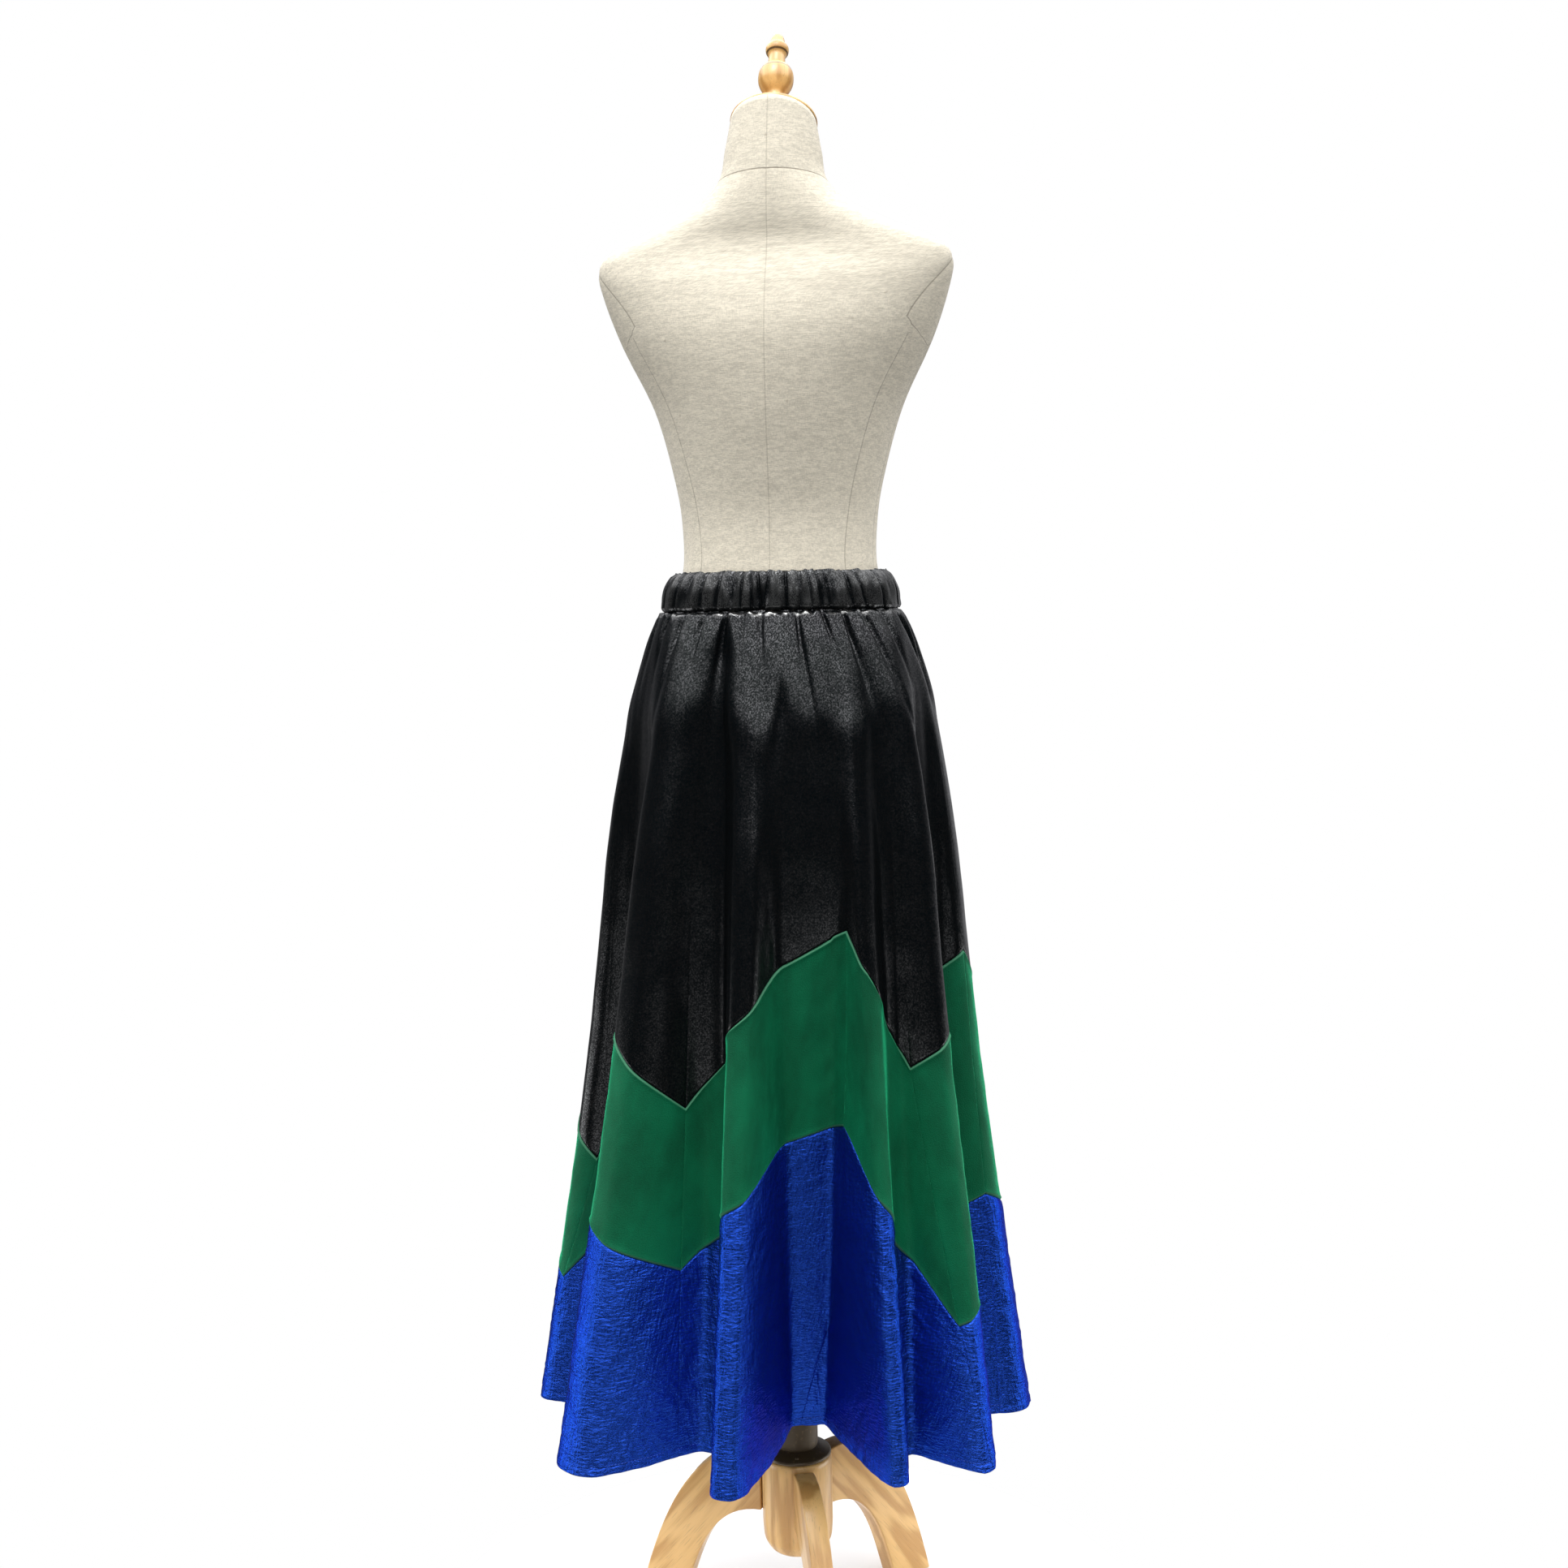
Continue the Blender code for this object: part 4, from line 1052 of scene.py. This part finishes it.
def gore_sheet(gore, colour, top, bottom, step, cloth, made):
    """One pieced length of a gore as a thin shell of cloth, with its own cut and area."""
    around, down, across, below_top, above_foot = gore_grid(gore, colour, top, bottom, step)
    point, normal, _ = skirt_frame(around, down)
    from_left, from_right = seam_distances(point)
    seam_near, middle = np.minimum(from_left, from_right), (from_left - from_right) / 2
    drop = down * LENGTH
    fields, lift = {}, 0.0
    dip, pucker = SEAM_DIPS[colour]
    out = crease_relief(around, drop) + uneven("cloth", around, drop) - dip * bell(seam_near, SEAM_REACH)
    puckers = soft_noise(drop / PUCKER_LENGTH, across * PUCKER_WAVES, 5)
    out += pucker * puckers * bell(seam_near, PUCKER_REACH)
    if colour == "black":
        out += gather_relief(around, drop, cloth.puff) - BORDER_DIP * bell(above_foot, BORDER_REACH)
        lift = WAIST_LIFT * np.exp(-drop / WAIST_LIFT_FADE)
        # Painted highlight along the gathers' ridge, for the black cloth's colour
        fields["frill"] = glints(around, drop)
    elif colour == "green":
        edge = np.minimum(below_top, above_foot)
        out += BORDER_DIP * (bell(edge - PILE_EDGE, PILE_WIDTH) - bell(edge, PILE_GAP))
        out += uneven("pile", around, drop)
        # How far from a border, for the velvet's painted edge sheen
        fields["edge"] = edge
    else:
        fade = np.clip(below_top / SATIN_BORDER_FADE, 0.0, 1.0) * (1.0 - bell(seam_near, SATIN_SEAM_FADE))
        out += satin_relief(middle, drop, gore, cloth.crinkle) * fade
        out += hem_relief(around, drop, above_foot, cloth.turning)
        out -= BORDER_DIP * bell(below_top, BORDER_REACH)
        lift = uneven("hem", around, drop) * bell(above_foot, HEM_WAVE_REACH)
    outer = point + normal * out[..., None]
    outer[..., 2] += lift
    inner = outer - CLOTH * normal
    grid = np.concatenate([outer.reshape(-1, 3), inner.reshape(-1, 3)])
    uv = np.stack([middle + 0.5 * gore, drop], axis=-1).reshape(-1, 2)
    label = f"{colour}_gore_{gore + 1:02d}"
    fields = {name: np.tile(values.ravel(), 2) for name, values in fields.items()}
    faces = grid_faces(*down.shape, False)
    piece = add_mesh(f"{label}_cloth", grid, faces, made, np.concatenate([uv, uv]), fields)
    place_piece(piece, made.name, label)
    return piece, [widest(outer), longest(outer)], cloth_area((outer + inner) / 2)


def border(gore, edge, gap):
    """How far down one edge of a gore piece lies, by the share across: a colour border or a level edge."""
    if isinstance(edge, str):
        return lambda across: border_down(gore, across, edge) + gap
    return lambda across: 0.0 * across + edge


def make_gores(colour, made, cloth, step, top, bottom):
    """Ten gore pieces of one colour, each hung from the piece above it."""
    gap = BORDER_GAP / 2 / LENGTH
    for gore in range(GORES):
        edges = border(gore, top, gap), border(gore, bottom, -gap)
        piece, flat, area = gore_sheet(gore, colour, *edges, step, cloth, made)
    return {"FINISHED"}


def band_relief(around, height):
    """How far the elastic's creases and the soft casing between them stand out."""
    waist = WAIST_START_DEG + 360.0 * around
    hollow = np.zeros_like(height)
    share = np.clip(height / BAND_HEIGHT, 0.0, 1.0)
    for waist_deg, slant, depth, width in zip(*BAND_CREASES.values()):
        away = wrapped(waist - waist_deg - slant * (share - 0.5))
        hollow += CREASE_DEPTH * depth / (1.0 + (away / (CREASE_WIDTH * width)) ** 2)
    casing = CASING_OUT * np.minimum(share / CASING_FOOT, 1.0) - CASING_TAPER * share
    pillow = uneven("casing", around, share) + uneven("fine_casing", around, share)
    ruffle = uneven("ruffle", around, share) * np.clip((share - RUFFLE_FROM) / (1.0 - RUFFLE_FROM), 0.0, 1.0)
    return casing + pillow + ruffle - hollow


def band_tuck(angle, height):
    """How far the band's upper edge draws in to the waist, most at the sides."""
    share = np.clip((height / BAND_HEIGHT - TUCK_FROM) / (1.0 - TUCK_FROM), 0.0, 1.0)
    return (TUCK_LEAST + TUCK_AT_SIDES * np.cos(angle) ** 2) * share ** 2.5


def band_radius(around, height):
    """Distance of the band's outer wall from the axis, round the waist at one height."""
    angle = np.radians(WAIST_START_DEG + 360.0 * around)
    inset = np.interp(height, *BAND.values())
    radius = ellipse_radius(angle, OUTLINE["half_width"][0] - inset, OUTLINE["half_depth"][0] - inset)
    return radius - band_tuck(angle, height) + band_relief(around, np.full(len(around), height))


def band_walls(around):
    """Levels of the band's outer and inner wall, lowest first, each a radius round the waist and a height."""
    low = BAND["height"][0]
    outer, inner = [], []
    rows = np.linspace(BAND_ROWS_START, BAND_TOP, BAND_ROWS)
    for height in np.concatenate([low + np.array(BAND_FOOT), rows]):
        radius = band_radius(around, height)
        outer.append((radius - BAND_FOOT_IN * math.exp(-(height - low) / BAND_FOOT_FADE), height))
        inward = BAND_WALL - BAND_INNER_OUT * math.exp(-height / BAND_INNER_FADE)
        inner.append((radius - inward, height))
    radius = band_radius(around, BAND_HEIGHT) - BAND_WALL / 2
    ruffle = uneven("top", around, 0.0 * around)
    for turn in np.radians(BAND_EDGE_TURNS_DEG):
        top = BAND_EDGE_Z + (BAND_EDGE_RISE + ruffle) * math.sin(turn)
        reach = math.cos(turn) * BAND_WALL / 2
        outer.append((radius + reach, top))
        inner.append((radius - reach, top))
    return outer, inner


def band_level(angle, radius, height):
    """Points of one level of the band."""
    x, y = AXIS_X + radius * np.cos(angle), AXIS_Y + radius * np.sin(angle)
    return np.stack([x, y, np.broadcast_to(WAIST_SEAM_Z + height, angle.shape)], axis=-1)


class MakeWaistband(Operator):
    """Make the gathered elastic waistband."""

    bl_idname = "skirt.make_waistband"
    bl_label = "Waistband"

    def execute(self, context):
        around = np.arange(BAND_SIDES) / BAND_SIDES
        angle = np.radians(WAIST_START_DEG + 360.0 * around)
        outer, inner = band_walls(around)
        rows = len(outer)
        grid = np.stack([band_level(angle, *level) for level in outer[::-1] + inner[::-1]])
        around = np.broadcast_to(around, grid.shape[:2])
        uv = np.stack([around * BAND_ROUND, grid[..., 2]], axis=-1).reshape(-1, 2)
        relief = band_relief(around, grid[..., 2] - WAIST_SEAM_Z)
        # Raised casing painted paler: a painted highlight, kept in the same attribute as the gathers' glint
        pale = BAND_PAINTED_HIGHLIGHT * np.clip((relief - BAND_HIGHLIGHT_FROM) / BAND_HIGHLIGHT_OVER, 0.0, 1.3)
        piece = add_mesh("waistband_cloth", grid.reshape(-1, 3), grid_faces(rows, BAND_SIDES, True),
                         finish(black_cloth, context.scene.skirt.black), uv, {"frill": pale.ravel()})
        place_piece(piece, "black_cloth", "waistband")
        middle = (grid[:rows] + grid[rows:]) / 2
        closed = np.concatenate([middle, middle[:, :1]], axis=1)
        area, width = cloth_area(closed), widest(closed)
        return {"FINISHED"}


class MakeBlackGores(Operator):
    """Make the ten upper gores, gathered into the waist seam."""

    bl_idname = "skirt.make_black_gores"
    bl_label = "Black gores"

    def execute(self, context):
        cloth = context.scene.skirt
        made = finish(black_cloth, cloth.black)
        return make_gores("black", made, cloth, cloth.black_mesh, 0.0, "black_drop")


class MakeGreenGores(Operator):
    """Make the ten velvet pieces between the zigzag borders."""

    bl_idname = "skirt.make_green_gores"
    bl_label = "Green gores"

    def execute(self, context):
        cloth = context.scene.skirt
        made = finish(green_velvet, cloth.green)
        return make_gores("green", made, cloth, cloth.green_mesh, "black_drop", "green_drop")


class MakeBlueGores(Operator):
    """Make the ten crinkled satin pieces down to the turned hem."""

    bl_idname = "skirt.make_blue_gores"
    bl_label = "Blue gores"

    def execute(self, context):
        cloth = context.scene.skirt
        made = finish(blue_satin, cloth.blue)
        return make_gores("blue", made, cloth, cloth.blue_mesh, "green_drop", 1.0)


def stitch_tree():
    """A geometry node tree that lays one stitch after another along a path."""
    group = bpy.data.node_groups.new("stitches", "GeometryNodeTree")
    sides = ("INPUT", "NodeSocketGeometry", "Path"), ("OUTPUT", "NodeSocketGeometry", "Stitches")
    for way, kind, name in sides:
        group.interface.new_socket(name, in_out=way, socket_type=kind)
    for name in ("Pitch", "Length", "Radius"):
        group.interface.new_socket(name, in_out="INPUT", socket_type="NodeSocketFloat")
    group.interface.new_socket("Thread", in_out="INPUT", socket_type="NodeSocketMaterial")
    tree = Tree(group)
    given = group.nodes.new("NodeGroupInput").outputs
    path, pitch, length, radius, thread = (Socket(tree, given[i]) for i in range(5))
    curve = tree.node("GeometryNodeMeshToCurve", {}, {"Mesh": path})
    steps = tree.node("GeometryNodeResampleCurve", {"mode": "LENGTH"}, {"Curve": curve, "Length": pitch})
    bead = tree.node("GeometryNodeMeshUVSphere", {}, {"Segments": 6, "Rings": 4, "Radius": 1.0})
    scale = tree.node("ShaderNodeCombineXYZ", {}, {0: radius, 1: radius, 2: length * 0.5})
    stitch = tree.node("GeometryNodeTransform", {}, {"Geometry": bead, "Scale": scale})
    tangent = tree.node("GeometryNodeInputTangent")
    turn = tree.node("FunctionNodeAlignRotationToVector", {"axis": "Z"}, {"Vector": tangent})
    beads = {"Points": steps, "Instance": stitch, "Rotation": turn}
    laid = tree.node("GeometryNodeInstanceOnPoints", {}, beads)
    solid = tree.node("GeometryNodeRealizeInstances", {}, {"Geometry": laid})
    smooth = tree.node("GeometryNodeSetShadeSmooth", {}, {"Geometry": solid})
    painted = tree.node("GeometryNodeSetMaterial", {}, {"Geometry": smooth, "Material": thread})
    group.links.new(painted.output, group.nodes.new("NodeGroupOutput").inputs[0])
    return group


def lay_stitches(name, path, cloth, made):
    """One mesh of stitches along a closed path of points."""
    mesh = bpy.data.meshes.new(name)
    mesh.from_pydata(path.tolist(), [(i, (i + 1) % len(path)) for i in range(len(path))], [])
    source = add_object(name, mesh)
    modifier = source.modifiers.new("stitches", "NODES")
    modifier.node_group = bpy.data.node_groups.get("stitches") or stitch_tree()
    values = {"Pitch": cloth.stitch_pitch, "Length": cloth.stitch_length, "Radius": cloth.stitch_radius,
              "Thread": made}
    for item in modifier.node_group.interface.items_tree:
        if item.in_out == "INPUT" and item.name in values:
            modifier[item.identifier] = values[item.name]
    bpy.context.view_layer.update()
    ready = source.evaluated_get(bpy.context.evaluated_depsgraph_get())
    sewn = bpy.data.meshes.new_from_object(ready)
    source.modifiers.remove(modifier)
    source.data = sewn
    sewn.name = name
    bpy.data.meshes.remove(mesh)
    return source


class MakeHemStitches(Operator):
    """Sew the turned hem with one row of stitches."""

    bl_idname = "skirt.make_hem_stitches"
    bl_label = "Hem stitches"

    def execute(self, context):
        cloth = context.scene.skirt
        around = np.linspace(0.0, 1.0, STITCH_PATH, endpoint=False)
        down = np.full(len(around), 1.0 - cloth.turning / LENGTH)
        point, normal, _ = skirt_frame(around, down)
        out = uneven("pucker", around, down) - STITCH_DIP + crease_relief(around, down * LENGTH)
        out += cloth.stitch_radius * 1.2
        made = finish(blue_thread, cloth.blue)
        piece = lay_stitches("hem_stitches", point + normal * out[:, None], cloth, made)
        place_piece(piece, "blue_satin")
        return {"FINISHED"}


def form_surface(row, angle):
    """Points of the dress form at rows up the body and angles round it, in its own turned frame."""
    rows = np.arange(FORM_ROWS, dtype=float)
    part = {name: smooth_table(row, rows, values) for name, values in FORM.items()}
    x, y = part["half_width"] * np.cos(angle), part["half_depth"] * np.sin(angle)
    z = part["height"] - np.tan(np.radians(part["tilt_deg"])) * y
    return np.stack([x, y + part["forward"], z], axis=-1)


def turned_with_form(points):
    """Points of the form's own frame, turned and set on the axis."""
    turn = math.radians(FORM_TURN_DEG)
    x, y = points[..., 0], points[..., 1]
    return np.stack([AXIS_X + x * math.cos(turn) - y * math.sin(turn),
                     AXIS_Y + x * math.sin(turn) + y * math.cos(turn), points[..., 2]], axis=-1)


def form_seams(points, row, angle, arc):
    """How far each point of the form lies from each seam of its linen."""
    x, y, height = np.abs(points[..., 0]), np.abs(points[..., 1]), points[..., 2]
    fold = np.degrees(np.arcsin(np.abs(np.sin(angle))))
    princess, side = (np.radians(fold - np.interp(height, PANELS["height"], PANELS[name])) * arc
                      for name in ("princess_deg", "side_deg"))
    reach = np.where(height > ARMHOLE_Z, ARMHOLE_ABOVE, ARMHOLE_BELOW)
    hoop = (y / ARMHOLE_HALF_DEPTH) ** ARMHOLE_CORNER
    hoop = (hoop + (np.abs(height - ARMHOLE_Z) / reach) ** ARMHOLE_CORNER) ** (1.0 / ARMHOLE_CORNER)
    stop = np.clip((height - ARMHOLE_Z) * 1000.0, 0.0, None) + np.clip(1.0 - hoop, 0.0, None) * (x > 0.1)
    return {
        "centre_seam": points[..., 0],
        "princess_seam": princess + stop,
        "side_seam": side + stop,
        "armhole_seam": np.where(x > 0.1, (hoop - 1.0) * ARMHOLE_HALF_DEPTH, 1.0),
        "neck_seam": np.broadcast_to((row - NECK_SEAM_ROW) * NECK_ROW_HEIGHT, height.shape),
    }


class MakeTorso(Operator):
    """Make the linen-covered body and neck with their seams."""

    bl_idname = "skirt.make_torso"
    bl_label = "Dress form"

    def execute(self, context):
        form = context.scene.dress_form
        angle = np.linspace(0.0, 2 * math.pi, form.sides, endpoint=False)[None, :]
        row = np.linspace(0.0, FORM_ROWS - 1.0, FORM_STEPS * (FORM_ROWS - 1) + 1)[:, None]
        points = form_surface(row, angle)
        along = form_surface(row, angle + STEP) - form_surface(row, angle - STEP)
        rise = form_surface(row + STEP, angle) - form_surface(row - STEP, angle)
        normal = np.cross(along, rise)
        normal /= np.maximum(np.linalg.norm(normal, axis=-1, keepdims=True), 1e-12)
        arc = np.linalg.norm(along, axis=-1) / (2 * STEP)
        height = points[..., 2]
        fields = form_seams(points, row, angle, arc)
        out = sum(-form.groove * bell(value, GROOVE_REACH) for value in fields.values())
        u = (angle - math.pi) * np.interp(height, *LINEN_ROUND.values())
        uv = np.stack([u, height], axis=-1).reshape(-1, 2)
        points = turned_with_form(points + normal * out[..., None])
        fields = {name: values.ravel() for name, values in fields.items()}
        piece = add_mesh("torso_linen", points.reshape(-1, 3), tube_faces(*points.shape[:2]),
                         finish(linen, form.linen), uv, fields)
        place_piece(piece, "linen", "torso")
        return {"FINISHED"}


def rounded(profile, ease, steps):
    """A profile with each corner eased over a short curve."""
    points = [Vector(row) for row in profile]
    eased = [points[0]]
    for before, corner, after in zip(points, points[1:], points[2:]):
        start = corner + (before - corner) * min(0.45, ease / (before - corner).length)
        end = corner + (after - corner) * min(0.45, ease / (after - corner).length)
        for i in range(steps + 1):
            t = i / steps
            eased.append((1 - t) ** 2 * start + 2 * t * (1 - t) * corner + t * t * end)
    return eased + [points[-1]]


def built_mesh(name, build):
    """The mesh of an edit mesh."""
    mesh = bpy.data.meshes.new(name)
    build.to_mesh(mesh)
    build.free()
    return mesh


def point_places(mesh):
    """The places of a mesh's points."""
    places = np.empty(3 * len(mesh.vertices))
    mesh.vertices.foreach_get("co", places)
    return places.reshape(-1, 3)


def turned_piece(name, nodes, profile, ease, sides, made, place=Matrix(), lines=()):
    """A piece turned on its axis, with its grain along that axis and dark lines painted at some heights."""
    build = bmesh.new()
    verts = [build.verts.new((x, 0.0, z)) for x, z in rounded(profile, ease, EASE_STEPS)]
    edges = [build.edges.new(pair) for pair in zip(verts, verts[1:])]
    bmesh.ops.spin(build, geom=verts + edges, cent=(0, 0, 0), axis=(0, 0, 1), angle=2 * math.pi, steps=sides,
                   use_merge=True)
    bmesh.ops.remove_doubles(build, verts=build.verts, dist=1e-6)
    bmesh.ops.recalc_face_normals(build, faces=build.faces)
    mesh = built_mesh(name, build)
    places = point_places(mesh)
    keep_field(mesh, "grain", places)
    for label, height in zip(LINE_NAMES, lines):
        keep_field(mesh, label, 1.0 + places[:, 2] - height)
    mesh.transform(Matrix.Translation((AXIS_X, AXIS_Y, 0.0)) @ place)
    mesh.shade_smooth()
    mesh.materials.append(made)
    place_piece(add_object(name, mesh), made.name, *nodes)


def neck_place():
    """Where the neck's top lies: its centre, with the axis leaning forward."""
    top = {name: values[-1] for name, values in FORM.items()}
    turn = Matrix.Rotation(math.radians(FORM_TURN_DEG), 4, "Z")
    lean = Matrix.Rotation(math.radians(-top["tilt_deg"]), 4, "X")
    return turn @ Matrix.Translation((0.0, top["forward"], top["height"])) @ lean


class MakeNeckCap(Operator):
    """Turn the neck cap and the finial."""

    bl_idname = "skirt.make_neck_cap"
    bl_label = "Neck cap and finial"

    def execute(self, context):
        form = context.scene.dress_form
        wood, top = finish(pale_wood, form.wood), neck_place()
        turned_piece("neck_cap_wood", ["neck_cap"], CAP, CAP_EASE, form.turned_sides, wood, top, CAP_LINES)
        turned_piece("finial_wood", ["finial"], FINIAL, FINIAL_EASE, form.turned_sides, wood, top,
                     FINIAL_LINES)
        return {"FINISHED"}


class MakeBoardAndPole(Operator):
    """Make the board under the form and the pole."""

    bl_idname = "skirt.make_board_and_pole"
    bl_label = "Board and pole"

    def execute(self, context):
        form = context.scene.dress_form
        wood = finish(pale_wood, form.wood)
        turned_piece("pole_wood", ["pole"], POLE, POLE_EASE, form.turned_sides // 2, wood)
        angle = np.linspace(0.0, 2 * math.pi, BOARD_SIDES, endpoint=False)
        rings = []
        for height, inset in ((BOARD_BOTTOM_Z, BOARD_EDGE), (BOARD_BOTTOM_Z + BOARD_EDGE, 0.0),
                              (BOARD_TOP_Z - BOARD_EDGE, 0.0), (BOARD_TOP_Z, BOARD_EDGE)):
            x = (FORM["half_width"][0] - BOARD_IN - inset) * np.cos(angle)
            y = (FORM["half_depth"][0] - BOARD_IN - inset) * np.sin(angle)
            rings.append(turned_with_form(np.stack([x, y, np.full(len(angle), height)], axis=-1)))
        points = np.concatenate(rings)
        board = add_mesh("base_board_wood", points, tube_faces(len(rings), BOARD_SIDES), wood, None,
                         {"grain": points[:, (1, 2, 0)]})
        board.data.set_sharp_from_angle(angle=math.radians(50))
        place_piece(board, "pale_wood", "base_board")
        return {"FINISHED"}


class MakeHub(Operator):
    """Turn the hub and its dark metal collar."""

    bl_idname = "skirt.make_hub"
    bl_label = "Hub and collar"

    def execute(self, context):
        form = context.scene.dress_form
        metal = finish(dark_metal)
        turned_piece("hub_wood", ["hub"], HUB, HUB_EASE, form.turned_sides, finish(pale_wood, form.wood))
        turned_piece("collar_metal", ["collar"], COLLAR, COLLAR_EASE, form.turned_sides, metal)
        tilt = Matrix.Rotation(math.radians(PIN_TILT_DEG), 4, "X")
        place = Matrix.Translation((0.0, -PIN_OUT, PIN_Z)) @ tilt
        turned_piece("collar_pin", [], PIN, PIN_EASE, PIN_SIDES, metal, place)
        return {"FINISHED"}


def curve_points(controls, steps):
    """Points along a cubic curve through its end controls."""
    a, b, c, d = (Vector(p) for p in controls)
    points = []
    for i in range(steps + 1):
        t = i / steps
        points.append((1 - t) ** 3 * a + 3 * t * (1 - t) ** 2 * b + 3 * t * t * (1 - t) * c + t ** 3 * d)
    return points


class MakeLegs(Operator):
    """Saw the three legs and ease their edges."""

    bl_idname = "skirt.make_legs"
    bl_label = "Legs"

    def execute(self, context):
        form = context.scene.dress_form
        wood = finish(pale_wood, form.wood)
        outline = curve_points(LEG_TOP_CURVE, LEG_STEPS) + curve_points(LEG_BOTTOM_CURVE, LEG_STEPS)
        for number, angle_deg in enumerate(LEG_ANGLES_DEG, start=1):
            name = f"leg_{number}_wood"
            build = bmesh.new()
            near = [build.verts.new((p.x, -LEG_THICK / 2, p.y)) for p in outline]
            board = build.faces.new(near)
            grown = bmesh.ops.extrude_face_region(build, geom=[board])
            far = [v for v in grown["geom"] if isinstance(v, bmesh.types.BMVert)]
            bmesh.ops.translate(build, verts=far, vec=(0.0, LEG_THICK, 0.0))
            bmesh.ops.recalc_face_normals(build, faces=build.faces)
            rims = [e for e in build.edges if e.calc_face_angle(0.0) > math.radians(40)]
            bmesh.ops.bevel(build, geom=rims, offset=form.edge, segments=3, profile=0.6, affect="EDGES",
                            clamp_overlap=True)
            mesh = built_mesh(name, build)
            lay_grain(mesh, number)
            turn = Matrix.Rotation(math.radians(angle_deg), 4, "Z")
            mesh.transform(Matrix.Translation((AXIS_X, AXIS_Y, 0.0)) @ turn)
            mesh.shade_smooth()
            mesh.set_sharp_from_angle(angle=math.radians(35))
            mesh.materials.append(wood)
            place_piece(add_object(name, mesh), "pale_wood", f"leg_{number}")
        return {"FINISHED"}


def lay_grain(mesh, number):
    """Run the grain down a leg's slope, from the hub to the foot."""
    x, y, z = point_places(mesh).T
    slope = math.radians(LEG_GRAIN_DEG)
    along = x * math.cos(slope) - z * math.sin(slope)
    beside = x * math.sin(slope) + z * math.cos(slope)
    keep_field(mesh, "grain", np.stack([beside + 0.3 * number, y, along], axis=-1))


class MakeStage(Operator):
    """Set the floor, the soft light and the camera."""

    bl_idname = "skirt.make_stage"
    bl_label = "Stage"

    def execute(self, context):
        stage = context.scene.stage_settings
        build = bmesh.new()
        bmesh.ops.create_circle(build, cap_ends=True, segments=96, radius=FLOOR_RADIUS)
        mesh = built_mesh("floor", build)
        mesh.materials.append(finish(floor, stage.floor))
        add_object("floor", mesh)
        light_room(context, stage)
        set_camera(context, stage)
        return {"FINISHED"}


def light_room(context, stage):
    """A room that is bright overhead and dim at eye level, and its soft lights."""
    world = bpy.data.worlds.new("room")
    world.use_nodes = True
    world.node_tree.nodes.clear()
    tree = Tree(world.node_tree)
    up = tree.node("ShaderNodeTexCoord", {}, {}, "Generated")
    right, back, height = (tree.node("ShaderNodeSeparateXYZ", {}, {0: up}, axis) for axis in "XYZ")
    beyond = back.smooth(-0.05, 0.70) * (right.smooth(-0.2, 0.6) * 0.75 + 0.25)
    glow = tree.node("ShaderNodeValToRGB", {"stops": ROOM_STOPS}, {0: height * 0.5 + 0.5})
    glow = tree.mix(beyond * (1.0 - height.smooth(0.3, 0.7)), glow, ROOM_BEYOND)
    room = tree.node("ShaderNodeBackground", {}, {"Color": glow, "Strength": ROOM_STRENGTH})
    backdrop = tree.node("ShaderNodeBackground", {}, {"Color": (1.0, 1.0, 1.0), "Strength": 1.0})
    seen = tree.node("ShaderNodeLightPath", {}, {}, "Is Camera Ray")
    both = tree.node("ShaderNodeMixShader", {}, {0: seen, 1: room, 2: backdrop})
    world.node_tree.links.new(both.output, world.node_tree.nodes.new("ShaderNodeOutputWorld").inputs[0])
    context.scene.world = world
    for name, place, aim, (wide, high) in LIGHTS:
        light = bpy.data.lights.new(name, "AREA")
        light.shape = "RECTANGLE"
        light.size, light.size_y = wide, high
        light.energy = getattr(stage, name)
        lamp = add_object(name, light)
        lamp.location = place
        lamp.rotation_euler = (Vector(aim) - Vector(place)).to_track_quat("-Z", "Y").to_euler()


def set_camera(context, stage):
    """Stand the camera behind the wearer, at the photograph's height, tilt and roll."""
    lens = bpy.data.cameras.new("camera")
    lens.lens = stage.lens
    lens.sensor_width = 36.0
    lens.clip_start = 0.05
    lens.clip_end = 100.0
    camera = add_object("camera", lens)
    look = Matrix.Rotation(math.radians(90.0 - CAMERA_PITCH_DEG), 4, "X")
    roll = Matrix.Rotation(math.radians(CAMERA_ROLL_DEG), 4, "Z")
    camera.matrix_world = Matrix.Translation((AXIS_X, AXIS_Y - CAMERA_BACK, CAMERA_Z)) @ look @ roll
    context.scene.camera = camera
    context.scene.view_settings.view_transform = "Standard"


OPERATORS = (MakeTorso, MakeWaistband, MakeBlackGores, MakeGreenGores, MakeBlueGores, MakeHemStitches,
             MakeNeckCap, MakeBoardAndPole, MakeHub, MakeLegs, MakeStage)
SETTINGS = {"skirt": SkirtSettings, "dress_form": FormSettings, "stage_settings": StageSettings}


class SkirtPanel(Panel):
    """Lists the steps that make the skirt, the form and the stage."""

    bl_idname = "VIEW3D_PT_skirt"
    bl_label = "Flared skirt"
    bl_space_type = "VIEW_3D"
    bl_region_type = "UI"
    bl_category = "Skirt"

    def draw(self, context):
        for operator in OPERATORS:
            self.layout.operator(operator.bl_idname)
        for label, group in SETTINGS.items():
            box = self.layout.box()
            for name in group.__annotations__:
                box.prop(getattr(context.scene, label), name)


CLASSES = (*SETTINGS.values(), *OPERATORS, SkirtPanel)


def register():
    """Register the classes and hang the settings on the scene."""
    for made in CLASSES:
        bpy.utils.register_class(made)
    for label, group in SETTINGS.items():
        setattr(bpy.types.Scene, label, PointerProperty(type=group))


def unregister():
    """Take the settings and classes away again."""
    for label in SETTINGS:
        delattr(bpy.types.Scene, label)
    for made in reversed(CLASSES):
        bpy.utils.unregister_class(made)


def main():
    """Make every piece in order."""
    register()
    for operator in OPERATORS:
        group, name = operator.bl_idname.split(".")
        getattr(getattr(bpy.ops, group), name)()


if __name__ == "__main__":
    main()
